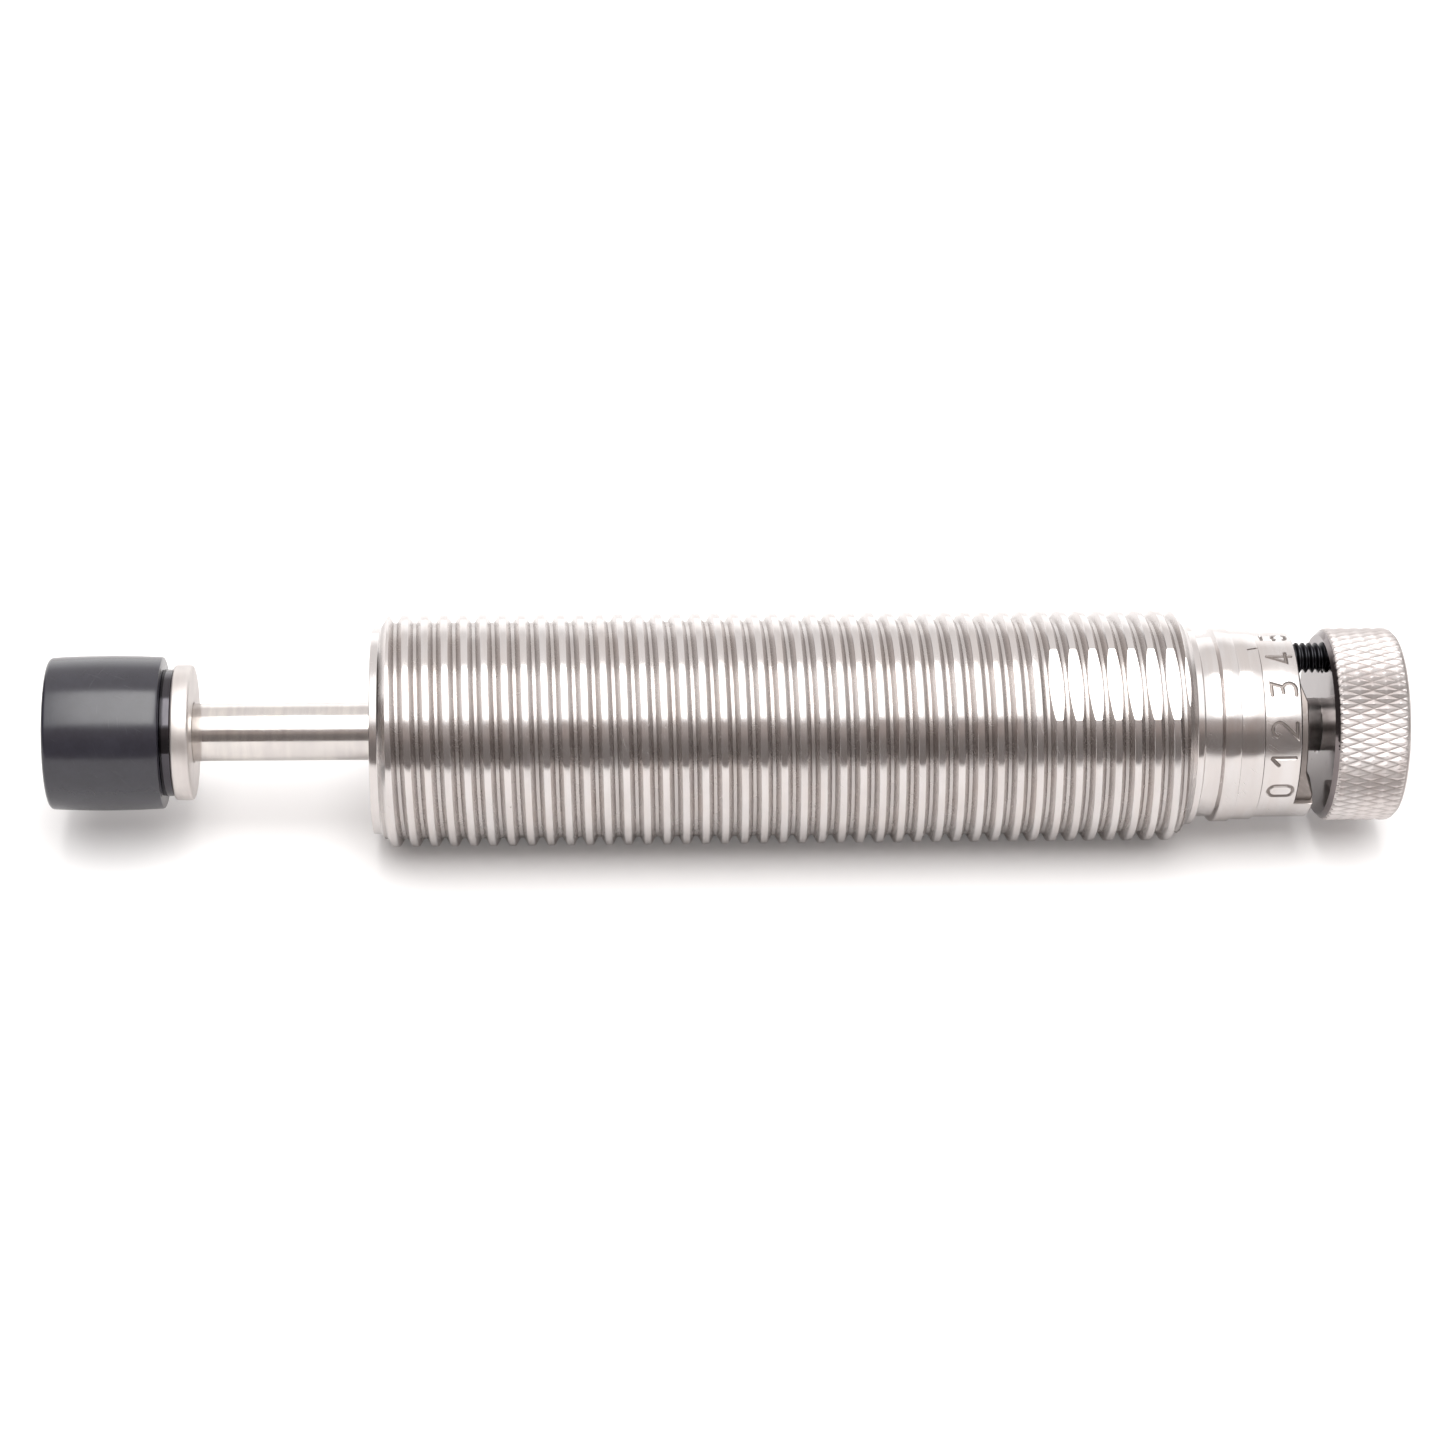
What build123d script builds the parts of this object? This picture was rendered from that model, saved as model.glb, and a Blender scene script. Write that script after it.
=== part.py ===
from build123d import *
import math
import os

# Adjustable hydraulic shock absorber with a 3/4-16 UNF barrel. Millimetres.
# +X runs along the axis from the bumper cap to the adjusting knob, +Z is up.
# The origin is on the axis, behind the front end of the full-diameter thread.
# A roll angle turns about the axis: 0 is straight up, 90 is towards -Y.

# Barrel, outside. The thread is drawn as level rings at its pitch, without its lead.
thread_diameter = 19.05
thread_front = 32.6     # from the thread's front end to the origin
thread_length = 64.5
thread_pitch = 1.5875
thread_depth = 0.66
crest_width = 0.54
first_crest = 0.45
nose_drop = 1.075       # a drop is a radius less than the thread's
nose_slope = 0.68
nose_land = 0.65
tail_drop = 1.325
tail_slope = 1.1
tail_land = 0.5
neck_drop = 1.95
neck_slope = 0.2
neck_length = 1.35
rear_band_drop = 1.525
rear_band_length = 1.35
flat_depth = 0.525
flat_length = 13.0
flat_roll = 32.8

# Barrel, inside
barrel_wall = 2.72
rear_bore_wall = 2.375
rear_bore_length = 6.6
ring_inset = 1.33
ring_thickness = 0.9
ring_bite = 0.5
ring_width = 1.4

# Gland and its seals
gland_length = 7.0
spigot_length = 2.0
seal_height = 1.6
wiper_length = 1.8
seal_length = 2.4
o_ring_section = 1.5
small_o_ring_section = 1.0
groove_side_gap = 0.15
o_ring_sides = 8        # flats round the section of an O-ring
collar_groove_inset = 0.8

# Pressure tube, metering sleeve and foam
sleeve_gap = 0.3
sleeve_wall = 0.95
tube_wall = 1.0
foam_length = 10.0
foam_gap = 0.3
orifice_diameter = 0.7
orifice_count = 5
return_port_diameter = 1.2
return_port_count = 4
cam_offset = 0.35
window_width = 2.0
plug_flange = 1.5
plug_spigot = 3.0
plug_pilot = 2.0
disc_thickness = 1.5
washer_thickness = 0.8

# Rod, piston and bumper
rod_diameter = 4.76
rod_exposed = 14.67
stroke = 12.7
tenon_diameter = 3.2
piston_flange = 2.4
check_ring_width = 1.65
check_ring_thickness = 1.8
check_ring_float = 0.5
plate_thickness = 1.4
nut_thickness = 1.8
nut_spring_gap = 0.5
nut_slot_width = 0.6
nut_slot_depth = 0.6
bleed_diameter = 0.9
bleed_count = 6
rod_flange_diameter = 11.1
rod_flange_thickness = 1.5
insert_diameter = 10.4
insert_neck = 0.9
insert_waist_diameter = 7.6
insert_waist = 2.2
insert_head_diameter = 9.2
insert_head = 2.4
rod_grip = 3.5
cap_diameter = 12.7
cap_length = 9.3
cap_edge = 0.35
cap_crown = 0.12

# Return spring
spring_wire = 0.75
spring_wall_gap = 0.35
spring_turns = 8
spring_sides = 6        # flats round the section of the wire

# Adjuster
index_band_diameter = 15.7
index_band_length = 1.9
stem_diameter = 4.8
stem_tail_diameter = 4.4
stem_shoulder = 1.3
stem_flat_depth = 0.6
stem_flange_thickness = 1.2
stem_flange_gap = 0.4
tongue_width = 3.6
tongue_thickness = 1.2
clip_thickness = 0.6
clip_width = 2.0
clip_bite = 0.5
dial_diameter = 15.3
dial_length = 3.05
dial_recess_gap = 0.4
lug_height = 1.5
lug_depth = 2.3
lug_roll = 113.5
lug_span = 60.0
step_height = 0.6
step_drop = 0.4
step_roll = 30.0        # the step runs from here to the lug
knob_gap = 2.7
knob_diameter = 16.0
knob_length = 6.2
knob_front_chamfer = 0.7
knob_rear_chamfer = 0.5
stem_end_inset = 0.8
lock_screw_diameter = 2.5
lock_screw_radius = 6.0
lock_screw_roll = -11.8
lock_screw_inset = 1.2
lock_seat_depth = 0.4
hex_socket = 1.3
hex_depth = 1.6

# Fits
running_gap = 0.03      # radial, one piece turning or sliding in another
piston_gap = 0.05       # radial, piston in its tube
face_gap = 0.05         # between faces that turn or slide past each other
seat_gap = 0.1          # round the lock screw's point
ring_ease = 0.01        # O-ring to its groove
edge = 0.2              # small broken edges

# Radii, worked inwards from the thread
thread_radius = thread_diameter / 2
bore_radius = thread_radius - barrel_wall
root_radius = thread_radius - thread_depth
nose_radius = thread_radius - nose_drop
tail_radius = thread_radius - tail_drop
neck_radius = thread_radius - neck_drop
rear_band_radius = thread_radius - rear_band_drop
flat_reach = thread_radius - flat_depth
rear_bore_radius = neck_radius - rear_bore_wall
sleeve_radius = bore_radius - sleeve_gap
sleeve_bore = sleeve_radius - sleeve_wall
tube_radius = sleeve_bore - running_gap
tube_bore = tube_radius - tube_wall
piston_radius = tube_bore - piston_gap
rod_radius = rod_diameter / 2
stem_radius = stem_diameter / 2
stem_tail_radius = stem_tail_diameter / 2
tenon_radius = tenon_diameter / 2
hub_radius = piston_radius - check_ring_width - running_gap
seal_radius = rod_radius + seal_height
spring_outside = tube_bore - spring_wall_gap
spring_inside = spring_outside - spring_wire
nut_radius = spring_inside - nut_spring_gap
dial_radius = dial_diameter / 2
knob_radius = knob_diameter / 2

# Stations along the axis, outside
thread_start = -thread_front
thread_end = thread_start + thread_length
nose_end = thread_start - nose_slope
barrel_front = nose_end - nose_land
tail_start = thread_end + tail_slope
tail_end = tail_start + tail_land
neck_start = tail_end + neck_slope
neck_end = neck_start + neck_length
rear_band_start = neck_end + neck_slope
barrel_rear = rear_band_start + rear_band_length
index_band_end = barrel_rear + index_band_length
dial_start = index_band_end + face_gap
dial_end = dial_start + dial_length
knob_start = dial_end + knob_gap
knob_end = knob_start + knob_length

# Stations inside, from the front
ring_start = barrel_front + ring_inset
gland_start = ring_start + ring_thickness
gland_end = gland_start + gland_length
spigot_end = gland_end + spigot_length
seal_start = gland_end - edge - seal_length
foam_end = gland_end + foam_length

# Stations inside, from the rear
shoulder = barrel_rear - rear_bore_length
washer_start = shoulder - washer_thickness
disc_end = washer_start - face_gap
disc_start = disc_end - disc_thickness
plug_end = disc_start - face_gap
tube_end = plug_end - plug_flange
plug_start = tube_end - plug_spigot
stem_flange_start = shoulder + face_gap
stem_flange_end = stem_flange_start + stem_flange_thickness
collar_start = stem_flange_end + face_gap
outer_groove_centre = collar_start + collar_groove_inset + small_o_ring_section / 2
inner_groove_centre = index_band_end - collar_groove_inset - small_o_ring_section / 2

# Stations of the moving rod, fully out
piston_start = spigot_end + seat_gap
hub_start = piston_start + piston_flange
plate_start = hub_start + check_ring_thickness + check_ring_float + 2 * face_gap
plate_end = plate_start + plate_thickness
nut_end = plate_end + nut_thickness
flange_end = barrel_front - rod_exposed
flange_start = flange_end - rod_flange_thickness
cap_end = flange_start - insert_neck
cap_start = cap_end - cap_length


def turned(*outline):
    """A solid of revolution about the axis, from (x, radius) points."""
    return revolve(make_face(Polyline(*outline, close=True)), Axis.X, 360)


def bar(start, end, radius):
    return turned((start, 0), (end, 0), (end, radius), (start, radius))


def tube(start, end, outer, inner):
    return turned((start, inner), (end, inner), (end, outer), (start, outer))


def rolled(shape, roll):
    return Rot(roll, 0, 0) * shape


def radial_drill(x, roll, diameter, reach):
    """A drill from the axis outwards at one roll angle."""
    return rolled(Pos(x, 0, reach / 2) * Cylinder(diameter / 2, reach), roll)


def axial_drill(start, end, roll, pitch_radius, radius):
    """A drill along the axis direction, centred at a pitch radius."""
    return rolled(Pos(0, 0, pitch_radius) * bar(start, end, radius), roll)


def o_ring(x, outer_radius, section):
    """An O-ring whose outside lies just inside a radius."""
    centre = outer_radius - ring_ease - section / 2
    corner = section / 2 / math.cos(math.pi / o_ring_sides)
    turns = [math.pi / 2 + 2 * math.pi * (i + 0.5) / o_ring_sides for i in range(o_ring_sides)]
    return turned(*[(x + corner * math.cos(t), centre + corner * math.sin(t)) for t in turns])


def groove_width(section):
    return section + 2 * groove_side_gap


def thread_grooves():
    """Outline points of the thread: as many whole V grooves as fit behind its first crest."""
    count = int((thread_length - first_crest) / thread_pitch)
    groove = thread_pitch - crest_width
    points = []
    for i in range(count):
        start = thread_start + first_crest + i * thread_pitch
        points += [(start, thread_radius), (start + groove / 2, root_radius), (start + groove, thread_radius)]
    return points


def body_tube():
    """Threaded barrel with end chamfers, wrench flats, relief neck and rear band."""
    barrel = turned(
        (barrel_front, bore_radius),
        (barrel_front, nose_radius - edge / 2),
        (barrel_front + edge / 2, nose_radius),
        (nose_end, nose_radius),
        (thread_start, thread_radius),
        *thread_grooves(),
        (thread_end, thread_radius),
        (tail_start, tail_radius),
        (tail_end, tail_radius),
        (neck_start, neck_radius),
        (neck_end, neck_radius),
        (rear_band_start, rear_band_radius),
        (barrel_rear, rear_band_radius),
        (barrel_rear, rear_bore_radius),
        (shoulder, rear_bore_radius),
        (shoulder, bore_radius),
        (gland_start, bore_radius),
        (gland_start, bore_radius + ring_bite),
        (ring_start, bore_radius + ring_bite),
        (ring_start, bore_radius),
    )
    flat_start = tail_end - flat_length
    for side in (0, 180):
        block = Box(flat_length, thread_diameter, flat_depth)
        centre = Pos(flat_start + flat_length / 2, 0, flat_reach + flat_depth / 2)
        barrel -= rolled(centre * block, flat_roll + side)
    return barrel


def retaining_ring():
    """Internal circlip: a split ring with two lugs, each with a plier hole."""
    outer = bore_radius + ring_bite
    inner = outer - ring_width
    ring = tube(ring_start, gland_start, outer, inner)
    lug_radius = ring_width * 0.75
    lug_centre = inner - lug_radius / 3
    lug_angle = math.degrees(2 * lug_radius / lug_centre)
    for roll in (180 - lug_angle, 180 + lug_angle):
        ring += axial_drill(ring_start, gland_start, roll, lug_centre, lug_radius)
        ring -= axial_drill(ring_start, gland_start, roll, lug_centre, lug_radius * 0.45)
    gap = Box(ring_thickness, lug_radius * 1.6, outer)
    return ring - Pos(ring_start + ring_thickness / 2, 0, -outer + ring_width / 2) * gap


def front_bearing():
    """Gland that guides the rod: wiper pocket, closed seal groove, O-ring groove, spigot."""
    bore = rod_radius + running_gap
    groove = groove_width(o_ring_section)
    groove_start = gland_start + (gland_length - groove) / 2
    groove_floor = bore_radius - o_ring_section - 2 * ring_ease
    seal_end = seal_start + seal_length
    return turned(
        (gland_start, seal_radius),
        (gland_start, bore_radius - edge),
        (gland_start + edge, bore_radius),
        (groove_start, bore_radius),
        (groove_start, groove_floor),
        (groove_start + groove, groove_floor),
        (groove_start + groove, bore_radius),
        (gland_end, bore_radius),
        (gland_end, tube_bore),
        (spigot_end - edge, tube_bore),
        (spigot_end, tube_bore - edge),
        (spigot_end, bore),
        (seal_end, bore),
        (seal_end, seal_radius),
        (seal_start, seal_radius),
        (seal_start, bore),
        (gland_start + wiper_length, bore),
        (gland_start + wiper_length, seal_radius),
    )


def rod_wiper():
    """Wiper with a thin lip that leans out along the rod."""
    inside = rod_radius + running_gap
    lip = wiper_length * 0.35
    return turned(
        (gland_start, seal_radius),
        (gland_start + wiper_length, seal_radius),
        (gland_start + wiper_length, inside + edge),
        (gland_start + wiper_length - lip, inside + edge),
        (gland_start + lip / 2, inside),
        (gland_start - lip / 3, inside + edge / 2),
        (gland_start + lip, inside + seal_height / 2),
        (gland_start, seal_radius - edge * 2),
    )


def rod_seal():
    """U-cup: two lips that open towards the oil."""
    inside = rod_radius + running_gap
    end = seal_start + seal_length
    middle = (inside + seal_radius) / 2
    cup = seal_length * 0.55
    return turned(
        (seal_start, seal_radius),
        (end, seal_radius),
        (end, seal_radius - edge),
        (end - cup, middle),
        (end, inside + edge),
        (end, inside),
        (seal_start, inside),
    )


def gland_o_ring():
    return o_ring(gland_start + gland_length / 2, bore_radius, o_ring_section)


def orifice_positions():
    """The orifices crowd together towards the end of the stroke, so the load stays even."""
    share = [1 - (1 - (i + 1) / (orifice_count + 1)) ** 1.5 for i in range(orifice_count)]
    return [plate_end + stroke * s for s in share]


def pressure_tube():
    """Bore for the piston, with metering orifices in a row and return ports at the front."""
    barrel = tube(gland_end, tube_end, tube_radius, tube_bore)
    for x in orifice_positions():
        barrel -= radial_drill(x, 0, orifice_diameter, bore_radius)
    port_x = spigot_end + return_port_diameter
    for i in range(return_port_count):
        roll = 360 / return_port_count * (i + 0.5)
        barrel -= radial_drill(port_x, roll, return_port_diameter, bore_radius)
    return barrel


def tube_plug():
    """Closes the pressure tube and centres the return spring."""
    pilot = spring_inside - edge
    return turned(
        (plug_start - plug_pilot, 0),
        (plug_start - plug_pilot, pilot - edge),
        (plug_start - plug_pilot + edge, pilot),
        (plug_start, pilot),
        (plug_start, tube_bore),
        (tube_end, tube_bore),
        (tube_end, tube_radius),
        (plug_end, tube_radius),
        (plug_end, 0),
    )


def accumulator_foam():
    """Closed-cell foam sleeve that gives way to the oil the rod displaces."""
    return tube(gland_end, foam_end, bore_radius, tube_radius)


def metering_sleeve():
    """Cup that turns round the tube. Its eccentric relief throttles the orifices."""
    start = foam_end + foam_gap
    sleeve = turned(
        (start, sleeve_bore),
        (disc_start, sleeve_bore),
        (disc_start, 0),
        (disc_end, 0),
        (disc_end, sleeve_radius),
        (start, sleeve_radius),
    )
    holes = orifice_positions()
    relief_start = holes[0] - orifice_diameter
    relief_end = holes[-1] + orifice_diameter
    relief = Pos(0, 0, cam_offset) * bar(relief_start, relief_end, sleeve_bore)
    sleeve -= rolled(relief, lock_screw_roll)
    window_centre = (relief_start + relief_end) / 2
    window = Box(relief_end - relief_start - window_width, window_width, sleeve_radius)
    sleeve -= rolled(Pos(window_centre, 0, sleeve_radius / 2 + tube_bore) * window, lock_screw_roll)
    slot = Box(disc_thickness, tongue_width, tongue_thickness)
    return sleeve - Pos(disc_start + disc_thickness / 2, 0, 0) * slot


def thrust_washer():
    return tube(washer_start, shoulder, bore_radius - running_gap, stem_radius + seat_gap)


def index_collar():
    """Plug in the barrel's rear bore. Its flange is the band with the index line."""
    bore = stem_radius + running_gap
    groove = groove_width(small_o_ring_section)
    depth = small_o_ring_section + 2 * ring_ease
    outer_start = outer_groove_centre - groove / 2
    outer_end = outer_start + groove
    inner_start = inner_groove_centre - groove / 2
    inner_end = inner_start + groove
    return turned(
        (collar_start, bore),
        (collar_start, rear_bore_radius - edge),
        (collar_start + edge, rear_bore_radius),
        (outer_start, rear_bore_radius),
        (outer_start, rear_bore_radius - depth),
        (outer_end, rear_bore_radius - depth),
        (outer_end, rear_bore_radius),
        (barrel_rear, rear_bore_radius),
        (barrel_rear, index_band_diameter / 2),
        (index_band_end, index_band_diameter / 2),
        (index_band_end, bore),
        (inner_end, bore),
        (inner_end, stem_radius + depth),
        (inner_start, stem_radius + depth),
        (inner_start, bore),
    )


def collar_o_ring():
    return o_ring(outer_groove_centre, rear_bore_radius, small_o_ring_section)


def stem_o_ring():
    outside = stem_radius + small_o_ring_section + 2 * ring_ease
    return o_ring(inner_groove_centre, outside, small_o_ring_section)


def piston_rod():
    """Ground rod, with a tenon for the piston at the back."""
    tip = cap_end - rod_grip + insert_neck
    return turned(
        (tip, 0),
        (tip, rod_radius - edge),
        (tip + edge, rod_radius),
        (piston_start, rod_radius),
        (piston_start, tenon_radius),
        (nut_end, tenon_radius),
        (nut_end, 0),
    )


def piston():
    """Flange with bleed holes and a hub that the check ring floats on."""
    body = turned(
        (piston_start, tenon_radius),
        (piston_start, piston_radius - edge),
        (piston_start + edge, piston_radius),
        (hub_start, piston_radius),
        (hub_start, hub_radius),
        (plate_start, hub_radius),
        (plate_start, tenon_radius),
    )
    bleed_centre = (hub_radius + piston_radius) / 2
    for i in range(bleed_count):
        roll = 360 / bleed_count * i
        body -= axial_drill(piston_start, hub_start, roll, bleed_centre, bleed_diameter / 2)
    return body


def check_ring():
    """Ring that shuts the bleed holes on the way in and uncovers them on the way out."""
    start = hub_start + face_gap
    inner = hub_radius + running_gap
    return tube(start, start + check_ring_thickness, piston_radius, inner)


def piston_plate():
    """Keeps the check ring on its hub and carries the spring."""
    return tube(plate_start, plate_end, spring_outside, tenon_radius)


def piston_nut():
    """Slotted round nut on the rod's tenon."""
    nut = tube(plate_end, nut_end, nut_radius, tenon_radius)
    for roll in (0, 90):
        slot = Box(nut_slot_depth, nut_slot_width, 2 * nut_radius)
        nut -= rolled(Pos(nut_end - nut_slot_depth / 2, 0, 0) * slot, roll)
    return nut


def return_spring():
    """Compression spring between the piston plate and the tube plug."""
    radius = (spring_inside + spring_outside) / 2
    start = plate_end + spring_wire / 2 + face_gap
    height = plug_start - spring_wire / 2 - face_gap - start
    coil = Helix(height / spring_turns, height, radius, center=(start, 0, 0), direction=(1, 0, 0))
    section = Plane(coil @ 0, z_dir=coil % 0) * RegularPolygon(spring_wire / 2, spring_sides)
    return sweep(section, path=coil)


def rod_flange():
    return turned(
        (flange_start, rod_radius),
        (flange_start, rod_flange_diameter / 2 - edge),
        (flange_start + edge, rod_flange_diameter / 2),
        (flange_end - edge, rod_flange_diameter / 2),
        (flange_end, rod_flange_diameter / 2 - edge),
        (flange_end, rod_radius),
    )


def insert_outline():
    """The part of the insert that the bumper cap snaps over."""
    waist = insert_waist_diameter / 2
    head = insert_head_diameter / 2
    head_start = cap_end - insert_waist - insert_head
    return [
        (cap_end, waist),
        (cap_end - insert_waist, waist),
        (cap_end - insert_waist - edge, head),
        (head_start + edge * 2, head),
        (head_start, head - edge * 2),
        (head_start, 0),
    ]


def cap_insert():
    """Button on the rod's end, with a waist and a head inside the cap."""
    tip = cap_end - rod_grip + insert_neck
    neck = insert_diameter / 2
    return turned(
        (flange_start, rod_radius),
        (flange_start, neck),
        (cap_end, neck),
        *insert_outline(),
        (tip, 0),
        (tip, rod_radius - edge),
        (tip + edge, rod_radius),
    )


def rod_cap():
    """Elastomer bumper, slightly barrelled, with a rounded front edge."""
    radius = cap_diameter / 2
    outline = insert_outline()
    side = ThreePointArc(
        (cap_end, radius - cap_crown),
        ((cap_start + cap_end) / 2, radius),
        (cap_start + cap_edge, radius - cap_crown),
    )
    corner = JernArc(side @ 1, (-1, 0), cap_edge, 90)
    inside = Polyline(corner @ 1, (cap_start, 0), *reversed(outline), side @ 0)
    return revolve(make_face(Curve() + [side, corner, inside]), Axis.X, 360)


def adjuster_stem():
    """Stem with a drive tongue, a thrust flange, a clip groove and a flat for the knob."""
    groove_start = index_band_end + face_gap
    tail_start = knob_start - stem_shoulder
    stem_end = knob_end - stem_end_inset
    flange = rear_bore_radius - stem_flange_gap
    stem = turned(
        (disc_end, 0),
        (disc_end, stem_radius),
        (stem_flange_start, stem_radius),
        (stem_flange_start, flange),
        (stem_flange_end, flange),
        (stem_flange_end, stem_radius),
        (groove_start, stem_radius),
        (groove_start, stem_radius - clip_bite),
        (groove_start + clip_thickness, stem_radius - clip_bite),
        (groove_start + clip_thickness, stem_radius),
        (tail_start, stem_radius),
        (tail_start, stem_tail_radius),
        (stem_end - edge, stem_tail_radius),
        (stem_end, stem_tail_radius - edge),
        (stem_end, 0),
    )
    tongue = Box(disc_thickness, tongue_width, tongue_thickness)
    stem += Pos(disc_start + disc_thickness / 2, 0, 0) * tongue
    return stem - stem_flat()


def stem_flat():
    """The side of the tail that is cut away, so that the knob can't slip round it."""
    length = knob_end - knob_start
    block = Box(length, stem_tail_diameter, stem_flat_depth)
    height = stem_tail_radius - stem_flat_depth / 2
    return rolled(Pos(knob_start + length / 2, 0, height) * block, lock_screw_roll)


def stem_clip():
    """Open clip in the stem's groove, behind the index collar."""
    start = index_band_end + face_gap
    inner = stem_radius - clip_bite
    clip = tube(start, start + clip_thickness, inner + clip_width, inner)
    mouth = Box(clip_thickness, 2 * inner, inner + clip_width)
    return clip - Pos(start + clip_thickness / 2, 0, -(inner + clip_width) / 2) * mouth


def rear_sector(height, outer, roll, span):
    """Part of a ring that stands on the dial's rear face, from one roll angle on."""
    inner = dial_radius - lug_depth
    start = dial_end - 2 * edge
    section = make_face(Polyline(
        (start, inner), (dial_end + height, inner),
        (dial_end + height, outer), (start, outer), close=True))
    return rolled(revolve(section, Axis.X, span), roll + 90)


def dial_ring():
    """Numbered ring, with a recess for the clip, and a step and a lug on its rear face."""
    clip_radius = stem_radius - clip_bite + clip_width
    recess = clip_radius + dial_recess_gap
    recess_end = dial_start + clip_thickness + dial_recess_gap
    ring = turned(
        (dial_start, recess),
        (dial_start, dial_radius),
        (dial_end - 2 * edge, dial_radius),
        (dial_end, dial_radius - 2 * edge),
        (dial_end, stem_radius),
        (recess_end, stem_radius),
        (recess_end, recess),
    )
    ring += rear_sector(lug_height, dial_radius, lug_roll, lug_span)
    ring += rear_sector(step_height, dial_radius - step_drop, step_roll, lug_roll - step_roll)
    seat = lock_screw_diameter / 2 + seat_gap
    return ring - axial_drill(dial_end - lock_seat_depth, dial_end,
                              lock_screw_roll, lock_screw_radius, seat)


def knob():
    """Grip, bored for the stem's tail and tapped for the lock screw."""
    front = knob_radius - knob_front_chamfer
    rear = knob_radius - knob_rear_chamfer
    grip = turned(
        (knob_start, stem_tail_radius),
        (knob_start, front),
        (knob_start + knob_front_chamfer, knob_radius),
        (knob_end - knob_rear_chamfer, knob_radius),
        (knob_end, rear),
        (knob_end, stem_tail_radius),
    )
    grip += stem_flat()
    hole = lock_screw_diameter / 2 + running_gap
    return grip - axial_drill(knob_start, knob_end, lock_screw_roll, lock_screw_radius, hole)


def lock_screw():
    """Socket set screw along the axis direction, from the knob to the dial ring."""
    radius = lock_screw_diameter / 2
    tip = dial_end - lock_seat_depth + seat_gap
    head = knob_end - lock_screw_inset
    screw = turned((tip, 0), (tip, radius - 2 * edge), (tip + 2 * edge, radius),
                   (head - edge, radius), (head, radius - edge), (head, 0))
    socket = extrude(Plane.YZ * RegularPolygon(hex_socket / 2, 6, major_radius=False), hex_depth)
    screw -= Pos(head - hex_depth, 0, 0) * socket
    return rolled(Pos(0, 0, lock_screw_radius) * screw, lock_screw_roll)


pieces = {
    "body_tube": body_tube,
    "retaining_ring": retaining_ring,
    "rod_wiper": rod_wiper,
    "front_bearing": front_bearing,
    "gland_o_ring": gland_o_ring,
    "rod_seal": rod_seal,
    "pressure_tube": pressure_tube,
    "tube_plug": tube_plug,
    "accumulator_foam": accumulator_foam,
    "metering_sleeve": metering_sleeve,
    "thrust_washer": thrust_washer,
    "index_collar": index_collar,
    "collar_o_ring": collar_o_ring,
    "stem_o_ring": stem_o_ring,
    "piston_rod": piston_rod,
    "piston": piston,
    "check_ring": check_ring,
    "piston_plate": piston_plate,
    "piston_nut": piston_nut,
    "return_spring": return_spring,
    "rod_flange": rod_flange,
    "cap_insert": cap_insert,
    "rod_cap": rod_cap,
    "adjuster_stem": adjuster_stem,
    "stem_clip": stem_clip,
    "dial_ring": dial_ring,
    "knob": knob,
    "lock_screw": lock_screw,
}

os.makedirs("parts", exist_ok=True)
for name, make in pieces.items():
    export_step(make(), f"parts/{name}.step")
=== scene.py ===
import math
import bmesh
import bpy
from mathutils import Matrix, Vector


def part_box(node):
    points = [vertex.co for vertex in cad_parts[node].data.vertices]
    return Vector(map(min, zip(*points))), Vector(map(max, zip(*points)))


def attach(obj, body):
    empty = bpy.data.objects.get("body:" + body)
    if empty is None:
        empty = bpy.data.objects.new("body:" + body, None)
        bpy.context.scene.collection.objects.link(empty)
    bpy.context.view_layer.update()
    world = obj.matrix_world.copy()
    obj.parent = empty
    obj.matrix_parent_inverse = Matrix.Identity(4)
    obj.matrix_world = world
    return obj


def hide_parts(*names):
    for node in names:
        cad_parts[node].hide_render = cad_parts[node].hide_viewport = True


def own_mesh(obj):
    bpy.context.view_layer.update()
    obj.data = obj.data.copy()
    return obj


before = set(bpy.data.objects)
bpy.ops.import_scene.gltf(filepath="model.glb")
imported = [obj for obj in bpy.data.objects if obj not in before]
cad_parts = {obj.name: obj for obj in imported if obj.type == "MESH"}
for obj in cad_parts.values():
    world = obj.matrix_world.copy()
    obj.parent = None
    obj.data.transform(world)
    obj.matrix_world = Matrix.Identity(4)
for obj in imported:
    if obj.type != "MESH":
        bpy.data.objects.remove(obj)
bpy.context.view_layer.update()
mm = 0.001  # every shape below is worked out in millimetres, then scaled
print("frame loaded:", len(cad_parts), "nodes")


def turn(x, radius, roll):
    # a point at a roll angle in radians: 0 is straight up, a quarter turn is towards -Y
    return (x, -radius * math.sin(roll), radius * math.cos(roll))


def span(node):
    # where a node of the frame starts and ends along the axis, and its outer radius
    low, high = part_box(node)
    return low.x / mm, high.x / mm, (high.z - low.z) / 2 / mm


def addNode(tree, kind, inputs=None, **settings):
    # an input is either a constant or the socket that feeds it
    made = tree.nodes.new(kind)
    for name, value in settings.items():
        setattr(made, name, value)
    for name, value in (inputs or {}).items():
        if isinstance(value, bpy.types.NodeSocket):
            tree.links.new(value, made.inputs[name])
        else:
            made.inputs[name].default_value = value
    return made


def maths(tree, operation, first, second=0.0, clamp=False):
    made = addNode(tree, "ShaderNodeMath", {0: first, 1: second}, operation=operation, use_clamp=clamp)
    return made.outputs[0]


def product(tree, first, second):
    return maths(tree, "MULTIPLY", first, second)


def smoothStep(tree, value, start, end):
    # 0 at the start, 1 at the end, eased between them
    made = addNode(tree, "ShaderNodeMapRange", {"Value": value, "From Min": start, "From Max": end},
                   interpolation_type="SMOOTHSTEP")
    return made.outputs["Result"]


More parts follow.
